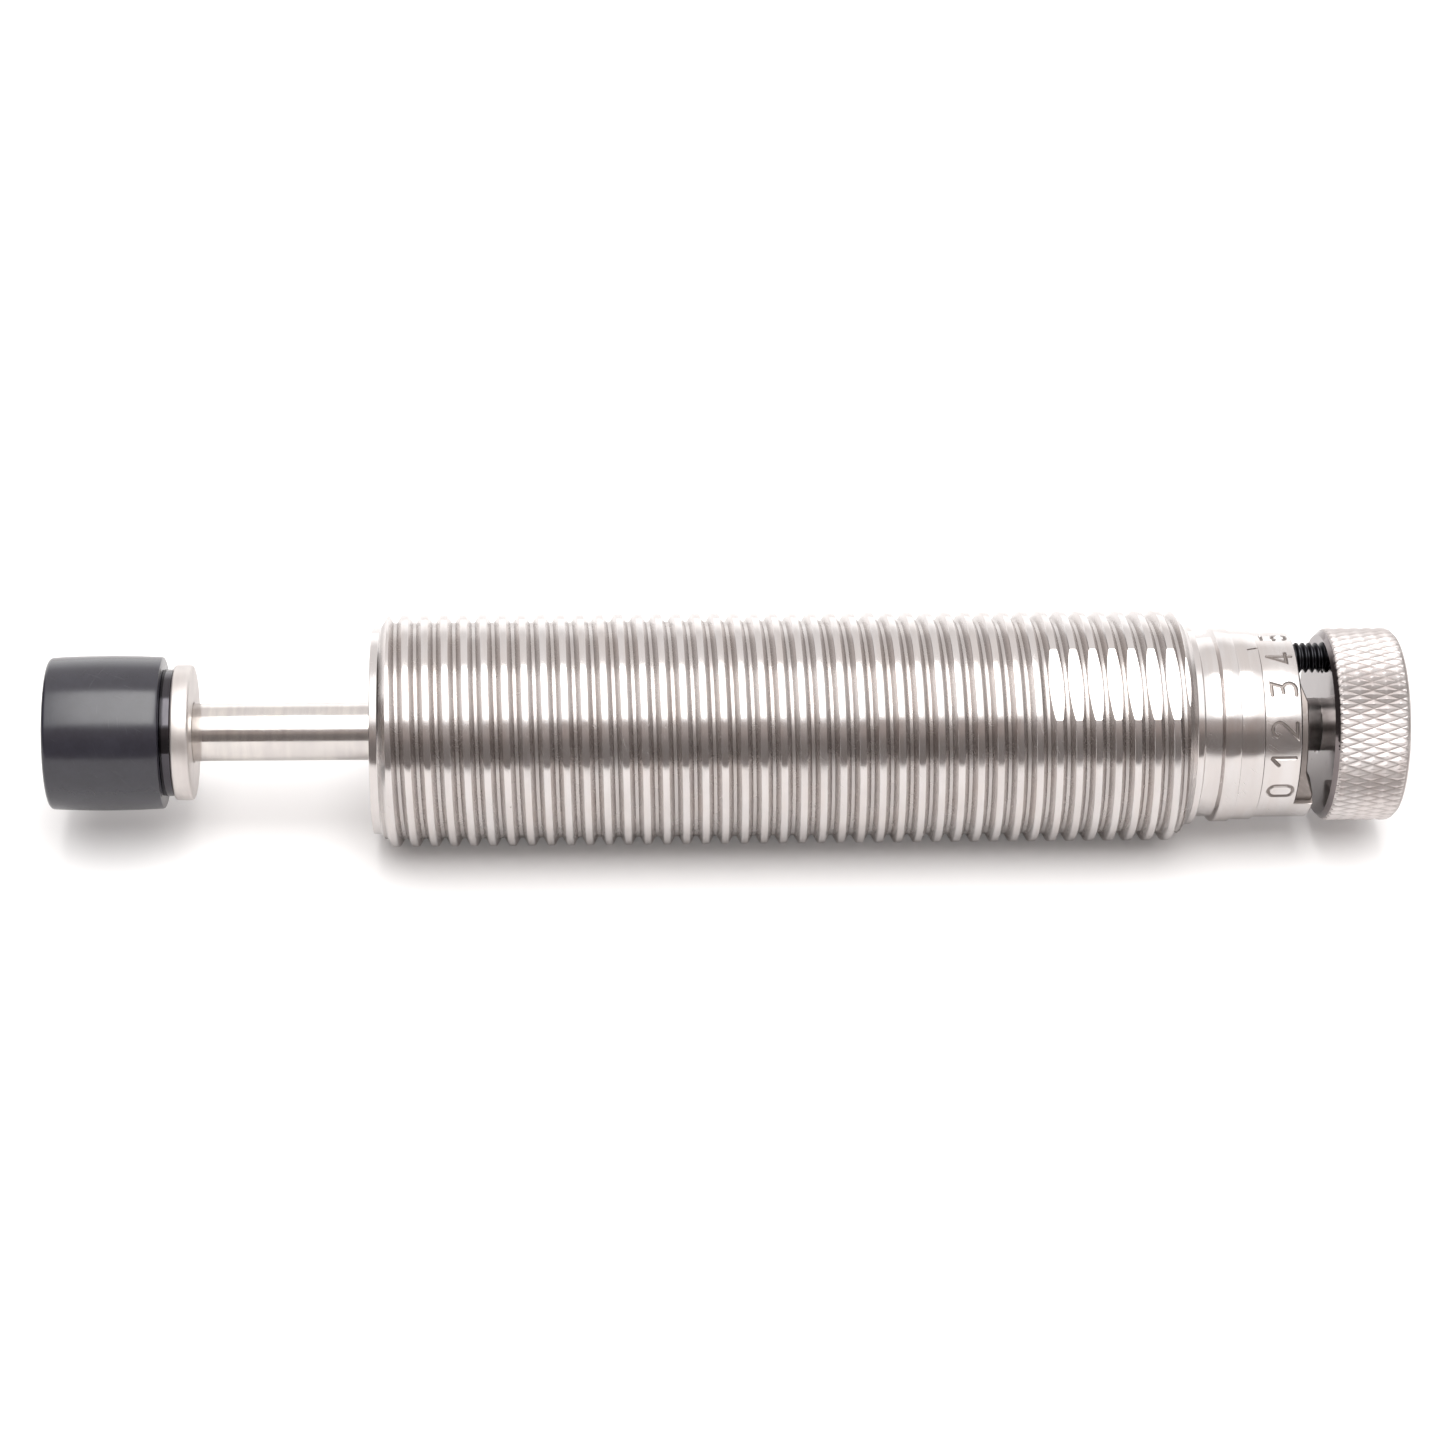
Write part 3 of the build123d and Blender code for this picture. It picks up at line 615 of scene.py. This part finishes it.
def makeRodEnd():
    size = {
        "tenon": 1.6, "tenonLength": 8.0, "ease": 0.12, "flangeEase": 0.22,
        "waist": 3.8, "waistLength": 2.2, "head": 4.6, "headLength": 2.4, "insertEase": 0.1,
        "capEdge": 0.38, "capCrown": 0.12, "capRearEdge": 0.16, "crownSteps": 12, "cornerSteps": 8,
    }
    rodStart, rodEnd, rodRadius = span("piston_rod")
    shoulder = rodEnd - size["tenonLength"]
    rodLine = stepped([(rodStart, rodRadius), (shoulder, size["tenon"])], rodEnd)
    rod = lathe("polished_rod", rounded(rodLine, size["ease"]), polishedRod, 128)
    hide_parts("piston_rod")

    flangeStart, flangeEnd, flangeRadius = span("rod_flange")
    flangeLine = [(flangeStart, rodRadius), (flangeStart, flangeRadius), (flangeEnd, flangeRadius),
                  (flangeEnd, rodRadius)]
    flange = lathe("rod_stop_flange", rounded(flangeLine, size["flangeEase"]), nickelFlange, 160)
    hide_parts("rod_flange")

    _, insertEnd, insertRadius = span("cap_insert")
    capStart, capEnd, capRadius = span("rod_cap")
    head = capEnd - size["waistLength"]
    button = [(capEnd, size["waist"]), (head, size["waist"]), (head, size["head"]),
              (head - size["headLength"], size["head"]), (head - size["headLength"], 0)]
    insertLine = [(insertEnd, rodRadius), (insertEnd, insertRadius), (capEnd, insertRadius), *button,
                  (rodStart, 0), (rodStart, rodRadius)]
    # the insert is drawn near-black, painted shade for its groove
    insert = lathe("cap_button", rounded(insertLine, size["insertEase"]), insertPaintedShade, 128)
    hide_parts("cap_insert")

    steps, edge, rearEdge = size["crownSteps"], size["capEdge"], size["capRearEdge"]
    sideStart, sideRadius = capStart + edge, capRadius - size["capCrown"]
    capLine = []
    for k in range(size["cornerSteps"], 0, -1):
        at = math.pi / 2 * k / size["cornerSteps"]
        capLine.append((capStart + edge * (1 - math.sin(at)), sideRadius - edge * (1 - math.cos(at))))
    for k in range(steps + 1):
        share = 2 * k / steps - 1
        x = sideStart + (capEnd - capStart - edge - rearEdge) * k / steps
        capLine.append((x, capRadius - size["capCrown"] * share * share))
    capLine += [(capEnd - rearEdge * 0.3, sideRadius - rearEdge * 0.3), (capEnd, sideRadius - rearEdge)]
    cap = lathe("bumper_cap", capLine + button + [(capStart, 0)], blackElastomer, 160)
    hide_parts("rod_cap")

    for piece in (rod, flange, insert, cap):
        shade(piece, 40)
        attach(piece, "rod")


makeRodEnd()
print("rod, flange and bumper made")


def arc(middle, reach, start, end, steps=14):
    turns = [math.radians(start + (end - start) * k / steps) for k in range(steps + 1)]
    return [(middle[0] + reach[0] * math.cos(t), middle[1] + reach[1] * math.sin(t)) for t in turns]


def digitStrokes(digit):
    # centre lines of a plain digit, one unit across and one unit up from its middle
    full, lower = (1, 0.56), (1, 0.53)
    strokes = {
        0: [arc((0, 0.44), full, 0, 180) + arc((0, -0.44), full, 180, 360) + [(1, 0.44)]],
        1: [[(0.35, 1), (0.35, -1)], [(0.35, 1), (-0.2, 0.72), (-0.85, 0.35)]],
        2: [arc((0, 0.44), full, 170, -38) + [(-1, -1), (1, -1)]],
        3: [[(-0.95, 0.96), (0.95, 0.98), (0.45, 0.1), (-0.6, 0.02)],
            [(0.45, 0.1)] + arc((0, -0.47), lower, 55, -90) + [(-0.95, -1)]],
        4: [[(0.2, 1.05), (-0.95, -0.5), (1, -0.5)], [(0.2, 1.05), (0.2, -1)]],
        5: [[(0.85, 1), (-0.8, 1), (-0.9, 0.08)] + arc((0, -0.44), full, 130, -150)],
        6: [arc((0, 0.44), full, 30, 180) + arc((0, -0.44), full, 180, 540, 28)],
        7: [[(-1, 1), (1, 1), (-0.3, -1)]],
        8: [arc((0, 0.52), (0.86, 0.48), 0, 360, 28), arc((0, -0.46), (1, 0.54), 0, 360, 28)],
    }
    return strokes[digit]


def strokeTool(line, place, width, sides=8):
    # a round bar with domed ends along a centre line that place() lays on the dial
    path = [Vector(place(u, v)) for u, v in line]
    joined = (path[0] - path[-1]).length < 0.01
    if joined:
        path.pop()
    count = len(path)
    points = []
    for k, here in enumerate(path):
        back = path[k - 1] if k > 0 or joined else here
        ahead = path[(k + 1) % count] if k < count - 1 or joined else here
        first, second = (here - back).normalized(), (ahead - here).normalized()
        along = (first + second).normalized()
        atEnd = first.length == 0 or second.length == 0
        wide = 1.0 if atEnd else 1 / max(0.35, along.dot(first))
        outward = Vector((0, here.y, here.z)).normalized()
        side = along.cross(outward).normalized()
        for i in range(sides):
            t = 2 * math.pi * (i + 0.5) / sides
            points.append(here + side * (math.cos(t) * width * wide) + outward * (math.sin(t) * width))
    faces = ringFaces(count, sides, joined)
    if not joined:
        for ring, here, beyond in ((0, path[0], path[1]), (count - 1, path[-1], path[-2])):
            points.append(here + (here - beyond).normalized() * width * 0.7)
            faces += [(len(points) - 1, ring * sides + i, ring * sides + (i + 1) % sides)
                      for i in range(sides)]
    return makeSolid("stroke", points, faces)


def cutDigit(piece, digit, size, low, roll, radius):
    # stamps one digit, its foot towards the knob
    def place(u, v):
        x = low + size["inset"] - v * size["tall"] / 2
        return turn(x, radius + size["lift"], roll - u * size["wide"] / 2 / radius)

    for line in digitStrokes(digit):
        cut(piece, strokeTool(line, place, size["width"]))


def makeCollar():
    size = {
        "bore": 2.43, "plug": 5.2, "plugLength": 5.3, "ease": 0.08,
        "line": {"width": 0.17, "depth": 0.14, "length": 0.95, "roll": math.radians(1.6),
                 "slant": math.radians(14)},
    }
    low, high, radius = span("index_collar")
    bandStart = low + size["plugLength"]
    outline = [(low, size["bore"]), (low, size["plug"]), (bandStart, size["plug"]), (bandStart, radius),
               (high, radius), (high, size["bore"])]
    collar = lathe("index_collar_band", rounded(outline, size["ease"], 2), nickelCollar, 240)
    line = size["line"]
    cutter = block("lineCutter", (-line["length"], -line["width"] / 2, radius - line["depth"]),
                   (0.3, line["width"] / 2, radius + 0.5))
    place = Matrix.Translation((high * mm, 0, 0)) @ Matrix.Rotation(line["roll"], 4, "X")
    cutter.data.transform(place @ Matrix.Rotation(line["slant"], 4, "Z"))
    cut(collar, cutter)
    shade(collar, 30)
    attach(collar, "barrel")
    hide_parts("index_collar")


def makeDial():
    size = {
        "length": 3.05, "bore": 2.4, "rearEdge": 0.12, "ease": 0.06, "recess": 4.3, "recessDepth": 1.0,
        "digits": {"tall": 2.02, "wide": 1.17, "width": 0.18, "lift": 0.045, "inset": 1.6},
        "rolls": (100.0, 77.2, 57.8, 32.9, 8.9, -14.2, -37.3, -60.4, -83.5),
        "lug": {"depth": 2.3, "sunk": 0.2, "drop": 0.0, "line": [(113.5, 1.5), (173.5, 1.5)]},
        "ramp": {"depth": 1.9, "sunk": 0.2, "drop": 0.4,
                 "line": [(26, 0.02), (40, 0.58), (88, 0.6), (108, 1.43), (114.5, 1.45)]},
        "seat": {"radius": 1.35, "depth": 0.4, "pitchRadius": 6.0, "roll": math.radians(-11.8)},
    }
    low, _, radius = span("dial_ring")
    high = low + size["length"]
    edge, floor = size["rearEdge"], low + size["recessDepth"]
    outline = [(low, size["recess"]), (low, radius), (high - edge, radius), (high, radius - edge),
               (high, size["bore"]), (floor, size["bore"]), (floor, size["recess"])]
    dial = lathe("numbered_dial", rounded(outline, size["ease"], 2), nickelDial, 288)
    for part in (size["ramp"], size["lug"]):
        combineSolids(dial, makeLug(part, high, radius - part["drop"]), "UNION")
    for digit, roll in enumerate(size["rolls"]):
        cutDigit(dial, digit, size["digits"], low, math.radians(roll), radius)
    seat = size["seat"]
    drill = lathe("seatDrill", stepped([(high - seat["depth"], seat["radius"])], high + 2), None, 48)
    cut(dial, offAxis(drill, seat["pitchRadius"], seat["roll"]))
    shade(dial, 25)
    # painted shade on the dial's rear face
    paintShadeOnEndFace(dial, dialFacePaintedShade, high, 1)
    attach(dial, "adjuster")
    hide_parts("dial_ring")


def makeLug(size, face, outer):
    # part of a ring that stands up from the dial's rear face, as high as its line says at each roll angle
    inner, low = outer - size["depth"], face - size["sunk"]
    points, rows = [], 0
    for (startRoll, startHeight), (endRoll, endHeight) in zip(size["line"], size["line"][1:]):
        steps = max(1, round((endRoll - startRoll) / 2))
        for k in range(0 if rows == 0 else 1, steps + 1):
            roll = math.radians(startRoll + (endRoll - startRoll) * k / steps)
            high = face + startHeight + (endHeight - startHeight) * k / steps
            soft = min(0.1, (high - face) / 2)  # eased edges, less where the lug runs out
            section = [(low, inner), (high - soft, inner), (high, inner + soft), (high, outer - soft),
                       (high - soft, outer), (low, outer)]
            points += [turn(x, r, roll) for x, r in section]
            rows += 1
    return makeSolid("lug", points, ringFaces(rows, 6) + endCaps(rows, 6), nickelDial)


def paintShadeOnEndFace(piece, surfaceMaterial, x, facing, chamfer=0.0):
    # paints shade onto the flat end face at one station, and onto its chamfer, as a dark copy of the nickel
    # in a slot of its own, and gives the flat face crisp borders
    mesh = piece.data
    mesh.materials.append(surfaceMaterial)
    flat, sloped = set(), set()
    for face in mesh.polygons:
        away = abs(face.center.x / mm - x)
        if face.normal.x * facing > 0.95 and away < 0.02:
            flat.add(face.index)
        elif face.normal.x * facing > 0.55 and away < chamfer + 0.1:
            sloped.add(face.index)
    for index in flat | sloped:
        mesh.polygons[index].material_index = len(mesh.materials) - 1
    markBorders(mesh, flat)


def flatSide(reach, flatRoll, limit, start=-math.inf):
    # a relief for lathe(): past the start, rings no larger than the limit are cut by one flat
    def relief(x, radius, roll):
        away = math.cos(roll - flatRoll)
        if x <= start or radius > limit or away <= 0.1:
            return radius
        return min(radius, reach / away)
    return relief


stemSize = {"radius": 2.4, "tail": 2.2, "flat": 0.6, "flatRoll": math.radians(-11.8), "shoulder": 1.3,
            "flange": 4.8, "flangeThickness": 1.2, "flangeStart": 2.4, "groove": 0.5, "grooveLength": 0.6,
            "tongue": (1.5, 3.6, 1.2), "ease": 0.09}


def makeStem():
    size = stemSize
    low, high, _ = span("adjuster_stem")
    knobStart = span("knob")[0]
    dialStart = span("dial_ring")[0]
    tongueLength, tongueWidth, tongueThickness = size["tongue"]
    stemStart = low + tongueLength
    flangeStart = low + size["flangeStart"]
    outline = stepped([
        (stemStart, size["radius"]), (flangeStart, size["flange"]),
        (flangeStart + size["flangeThickness"], size["radius"]),
        (dialStart, size["radius"] - size["groove"]), (dialStart + size["grooveLength"], size["radius"]),
        (knobStart - size["shoulder"], size["tail"]),
    ], high)
    relief = flatSide(size["tail"] - size["flat"], size["flatRoll"], size["tail"], knobStart)
    # the stem carries painted shade for the gap it sits in
    stem = lathe("adjusting_stem", rounded(outline, size["ease"], 2), stemSteelPaintedShade, 128, relief)
    tongue = block("tongue", (low, -tongueWidth / 2, -tongueThickness / 2),
                   (stemStart + 0.3, tongueWidth / 2, tongueThickness / 2))
    combineSolids(stem, tongue, "UNION")
    shade(stem, 30)
    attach(stem, "adjuster")
    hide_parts("adjuster_stem")


lockSize = {"radius": 1.25, "pitch": 0.53, "depth": 0.26, "crest": 0.11, "root": 0.09, "ease": 0.02,
            "cornerSteps": 1, "steps": 48, "pitchRadius": 6.0, "roll": math.radians(-11.8),
            "point": 0.35, "headEdge": 0.2, "hex": 1.3, "hexDepth": 1.6, "hole": 1.29}


def makeKnob():
    size = {
        "diamonds": 63, "diamondLength": 2.2, "perDiamond": 12, "knurlDepth": 0.2, "flatTop": 0.9,
        "frontChamfer": 0.55, "rearChamfer": 0.5, "bore": 2.23, "boreEdge": 0.15, "flatGap": 0.03,
    }
    low, high, radius = span("knob")
    perDiamond = size["perDiamond"]
    steps = size["diamonds"] * perDiamond
    step = size["diamondLength"] / perDiamond
    middle = (low + high) / 2
    rows = math.floor((high - low) / 2 / step)
    xs = [low] + [middle + step * k for k in range(-rows, rows + 1)] + [high]
    flat = flatSide(stemSize["tail"] - stemSize["flat"] + size["flatGap"], stemSize["flatRoll"], limit=3.0)
    rolls = [2 * math.pi * k / steps for k in range(steps)]

    def knurl(x, k):
        along = (x - middle) / size["diamondLength"]
        roundWay = k / perDiamond
        gaps = [abs((value + 0.5) % 1 - 0.5) for value in (roundWay + along, roundWay - along)]
        height = min(2 * min(gaps), size["flatTop"]) / size["flatTop"]
        return min(radius - size["knurlDepth"] * (1 - height), radius - size["frontChamfer"] + (x - low),
                   radius - size["rearChamfer"] + (high - x))

    rings = [[turn(x, knurl(x, k), roll) for k, roll in enumerate(rolls)] for x in xs]
    bore, edge = size["bore"], size["boreEdge"]
    for x, r in ((high, bore + edge), (high - edge, bore), (low + edge, bore), (low, bore + edge)):
        rings.append([turn(x, flat(x, r, roll) + (r - bore) * 0.5, roll) for roll in rolls])
    points = [p for ring in rings for p in ring]
    faces = []
    for i, (a, b, c, d) in enumerate(ringFaces(len(rings), steps, True)):
        ring, k = divmod(i, steps)
        fromMiddle = ring - 1 - rows
        if ring >= len(xs) - 1:
            faces.append((a, b, c, d))
        elif (fromMiddle - k) % perDiamond in (0, perDiamond // 2):  # diagonals follow the grooves
            faces += [(a, b, c), (a, c, d)]
        else:
            faces += [(a, b, d), (b, c, d)]
    knob = makeSolid("knurled_knob", points, faces, nickelKnob)
    hole = lathe("screwHole", stepped([(low - 1, lockSize["hole"])], high + 1), None, 64)
    cut(knob, offAxis(hole, lockSize["pitchRadius"], lockSize["roll"]))
    shade(knob, 48)
    # painted shade on the knob's front face and chamfer
    paintShadeOnEndFace(knob, knobFacePaintedShade, low, -1, size["frontChamfer"])
    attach(knob, "adjuster")
    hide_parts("knob")


def makeLockScrew():
    size = lockSize
    low, high, _ = span("lock_screw")
    screw = threadedRod("black_lock_screw", size, low - 1, high + 1, size["steps"], blackOxide)
    outline = [(low, 0), (low, size["radius"] - size["point"]), (low + size["point"], size["radius"]),
               (high - size["headEdge"], size["radius"]), (high, size["radius"] - size["headEdge"]),
               (high, 0)]
    combineSolids(screw, lathe("screwEnvelope", outline, None, size["steps"]), "INTERSECT")
    hexRadius = size["hex"] / 2 / math.cos(math.pi / 6)
    socket = lathe("hexKey", [(high - size["hexDepth"] - 0.3, 0), (high - size["hexDepth"], hexRadius),
                              (high + 1, hexRadius), (high + 1, 0)], None, 6)
    cut(screw, socket)
    offAxis(screw, size["pitchRadius"], size["roll"])
    shade(screw, 28)
    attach(screw, "screw")
    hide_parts("lock_screw")


makeCollar()
makeDial()
makeStem()
makeKnob()
makeLockScrew()
print("collar, dial, stem, knob and lock screw made")


def makeFrontEnd():
    # what shows in the open front of the barrel: circlip, gland and wiper
    size = {
        "rod": 2.41, "pocket": 3.98, "wiperDepth": 1.8, "ease": 0.15, "lipEase": 0.06,
        "lip": [(0.05, 1.57), (1.8, 1.57), (1.8, 0.25), (1.1, 0.25), (0.3, 0), (-0.2, 0.08), (0.55, 0.8),
                (0.05, 1.22)],  # along from the gland's face, out from the rod
        "ringWidth": 1.4, "ringEase": 0.08, "lugRadius": 1.05, "lugHole": 0.47, "gap": 1.7,
        "spigot": 2.0, "spigotRadius": 4.5, "grooveFloor": 5.28, "groove": 1.8,
    }
    low, high, radius = span("front_bearing")
    rod, pocket, seat = size["rod"], size["pocket"], low + size["wiperDepth"]
    body = high - size["spigot"]
    grooveStart = (low + body - size["groove"]) / 2
    grooveEnd = grooveStart + size["groove"]
    outline = [
        (low, pocket), (low, radius), (grooveStart, radius), (grooveStart, size["grooveFloor"]),
        (grooveEnd, size["grooveFloor"]), (grooveEnd, radius), (body, radius), (body, size["spigotRadius"]),
        (high, size["spigotRadius"]), (high, rod), (seat, rod), (seat, pocket),
    ]
    gland = lathe("bronze_gland", rounded(outline, size["ease"], 2), bearingBronze, 128)
    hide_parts("front_bearing")

    lip = [(low + along, rod + out) for along, out in size["lip"]]
    wiper = lathe("wiper_lip", rounded(lip, size["lipEase"], 2), wiperUrethane, 128)
    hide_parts("rod_wiper")

    ringLow, ringHigh, ringRadius = span("retaining_ring")
    inner = ringRadius - size["ringWidth"]
    clipLine = [(ringLow, inner), (ringLow, ringRadius), (ringHigh, ringRadius), (ringHigh, inner)]
    clip = lathe("circlip", rounded(clipLine, size["ringEase"], 2), springSteel, 128)
    lugCentre = inner - size["lugRadius"] / 3
    lugTurn = 2 * size["lugRadius"] / lugCentre
    for reach, past, operation in ((size["lugRadius"], 0, "UNION"), (size["lugHole"], 1, "DIFFERENCE")):
        start, end = ringLow - past, ringHigh + past
        for side in (-1, 1):
            tool = lathe("lugTool", stepped([(start, reach)], end), None, 40)
            combineSolids(clip, offAxis(tool, lugCentre, math.pi + side * lugTurn), operation)
    gap = block("clipGap", (ringLow - 1, -size["gap"] / 2, -ringRadius - 1),
                (ringHigh + 1, size["gap"] / 2, -inner + size["lugRadius"] * 1.2))
    cut(clip, gap)
    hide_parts("retaining_ring")
    for piece in (gland, wiper, clip):
        shade(piece, 34)
        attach(piece, "barrel")


def makeSpring():
    size = {"wire": 0.375, "turns": 8, "perTurn": 48, "around": 12, "keep": 0.678}
    low, high, _ = span("return_spring")
    boxLow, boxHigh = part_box("return_spring")
    coil = (boxHigh.z - boxLow.z) / 2 / mm - size["wire"]
    start, end = low + size["wire"], high - size["wire"]
    count = size["turns"] * size["perTurn"]
    lead = math.atan((end - start) / (size["turns"] * 2 * math.pi * coil))
    points = []
    for k in range(count + 1):
        roll = 2 * math.pi * k / size["perTurn"]
        middle = Vector(turn(start + (end - start) * k / count, coil, roll))
        outward = Vector(turn(0, 1, roll))
        forward = Vector((math.sin(lead), 0, 0)) + Vector(turn(0, math.cos(lead), roll + math.pi / 2))
        side = outward.cross(forward).normalized()
        for i in range(size["around"]):
            at = 2 * math.pi * i / size["around"]
            points.append(middle + (outward * math.cos(at) + side * math.sin(at)) * size["wire"])
    faces = ringFaces(count + 1, size["around"]) + endCaps(count + 1, size["around"])
    spring = makeSolid("coil_spring", points, faces, springSteel)
    shade(spring, 50)
    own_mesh(spring)
    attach(spring, "barrel")
    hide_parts("return_spring")


def dressInside():
    # the inner pieces keep their own solids and only get a finish
    finishes = {
        sealRubber: ["gland_o_ring", "rod_seal", "collar_o_ring", "stem_o_ring"],
        hardenedSteel: ["pressure_tube", "tube_plug", "metering_sleeve", "thrust_washer", "piston",
                        "check_ring", "piston_plate", "piston_nut"],
        springSteel: ["stem_clip"],
        foam: ["accumulator_foam"],
    }
    for surfaceMaterial, names in finishes.items():
        for name in names:
            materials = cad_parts[name].data.materials
            materials.clear()
            materials.append(surfaceMaterial)


makeFrontEnd()
makeSpring()
dressInside()
print("front end, spring and inner pieces finished")


def makeFloor():
    size = {"side": 3000.0, "frontEdge": -200.0, "white": (0.87, 0.86, 0.858, 1),
            "tint": (0.85, 0.838, 0.836, 1), "lift": 0.12, "cloudScale": 0.01}
    half, near = size["side"] / 2, size["frontEdge"]
    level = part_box("body_tube")[0].z / mm
    corners = [(-half, near, level), (half, near, level), (half, half, level), (-half, half, level)]
    made, tree, surface = newMaterial("paleFloor", Roughness=0.9, Specular_IOR_Level=0.0,
                                      Emission_Color=size["white"])
    cloud = noise(tree, inMillimetres(tree), size["cloudScale"], detail=2.0)
    tree.links.new(mixColor(tree, cloud, size["white"], size["tint"]), surface.inputs["Base Color"])
    seen = addNode(tree, "ShaderNodeLightPath").outputs["Is Camera Ray"]
    tree.links.new(product(tree, seen, size["lift"]), surface.inputs["Emission Strength"])
    floor = makeObject("floor", corners, [(0, 1, 2, 3)], made)


def makeSurroundings():
    # a studio of soft bands lying along the object: dark low in front, white above, grey behind
    bands = [  # degrees up from the horizon in front, brightness, and the blue left in its tint
        (0, 0.24, 0.86), (14, 0.24, 0.88), (24, 0.28, 0.86), (30, 0.42, 0.82), (43, 0.53, 0.86),
        (47, 1.8, 1.0), (98, 1.8, 1.0), (105, 1.08, 0.96), (148, 1.03, 0.96), (160, 1.6, 0.99),
        (180, 1.8, 1.0),
    ]
    frontSide, rearSide = (0.13, 0.115, 0.113, 1), (0.36, 0.345, 0.335, 1)
    world = bpy.data.worlds.new("studio")
    bpy.context.scene.world = world
    world.use_nodes = True
    tree = world.node_tree
    tree.nodes.clear()
    parts = splitXYZ(tree, addNode(tree, "ShaderNodeTexCoord").outputs["Generated"])
    height = maths(tree, "ABSOLUTE", parts[2])
    angle = maths(tree, "ARCTAN2", height, product(tree, parts[1], -1.0))
    share = maths(tree, "DIVIDE", angle, math.pi)
    ramp = addNode(tree, "ShaderNodeValToRGB", {0: share})
    stops = ramp.color_ramp.elements
    while len(stops) > 1:
        stops.remove(stops[-1])
    for i, (degrees, bright, blue) in enumerate(bands):
        stop = stops[0] if i == 0 else stops.new(degrees / 180)
        stop.position = degrees / 180
        stop.color = (bright, bright * (1 + 3 * blue) / 4, bright * blue, 1)
    rearward = smoothStep(tree, parts[0], 0.62, 0.92)
    forward = smoothStep(tree, product(tree, parts[0], -1.0), 0.5, 0.75)
    room = mixColor(tree, rearward, ramp.outputs[0], rearSide)
    lit = addNode(tree, "ShaderNodeBackground", {"Color": mixColor(tree, forward, room, frontSide)})
    plain = addNode(tree, "ShaderNodeBackground", {"Color": (1, 1, 1, 1)})
    seen = addNode(tree, "ShaderNodeLightPath").outputs["Is Camera Ray"]
    mixed = addNode(tree, "ShaderNodeMixShader", {0: seen, 1: lit.outputs[0], 2: plain.outputs[0]})
    addNode(tree, "ShaderNodeOutputWorld", {0: mixed.outputs[0]})


def makeLight():
    size = {"width": 0.9, "depth": 0.5, "height": 0.9, "towards": -0.25, "power": 5.2}
    lamp = bpy.data.lights.new("overhead", "AREA")
    lamp.shape = "RECTANGLE"
    lamp.size, lamp.size_y = size["width"], size["depth"]
    lamp.energy = size["power"]
    lamp.color = (1.0, 0.99, 0.975)
    holder = addObject("overhead", lamp)
    place = Vector((0, size["towards"], size["height"]))
    holder.location = place
    holder.rotation_mode = "QUATERNION"
    holder.rotation_quaternion = (-place).to_track_quat("-Z", "X")


def makeCamera():
    view = {"lens": 89.69, "sensor": 36.0, "distance": 297.5, "azimuth": math.radians(-3.15),
            "elevation": math.radians(35.3), "roll": math.radians(1.4), "aimX": -5.2, "aimUp": 0.5}
    azimuth, elevation = view["azimuth"], view["elevation"]
    back = Vector((math.sin(azimuth) * math.cos(elevation), -math.cos(azimuth) * math.cos(elevation),
                   math.sin(elevation)))
    side = Vector((0, 0, 1)).cross(back).normalized()
    tilt = Matrix.Rotation(view["roll"], 3, back)
    side, up = tilt @ side, tilt @ back.cross(side)
    aim = Vector((view["aimX"], 0, 0)) + up * view["aimUp"]
    lens = bpy.data.cameras.new("camera")
    lens.lens = view["lens"]
    lens.sensor_width = view["sensor"]
    lens.clip_start, lens.clip_end = 0.02, 6.0
    camera = addObject("camera", lens)
    place = Matrix((side, up, back)).transposed().to_4x4()
    place.translation = (aim + back * view["distance"]) * mm
    camera.matrix_world = place
    bpy.context.scene.camera = camera


makeFloor()
makeSurroundings()
makeLight()
makeCamera()
bpy.context.scene.view_settings.view_transform = "Standard"
print("floor, studio and camera set")
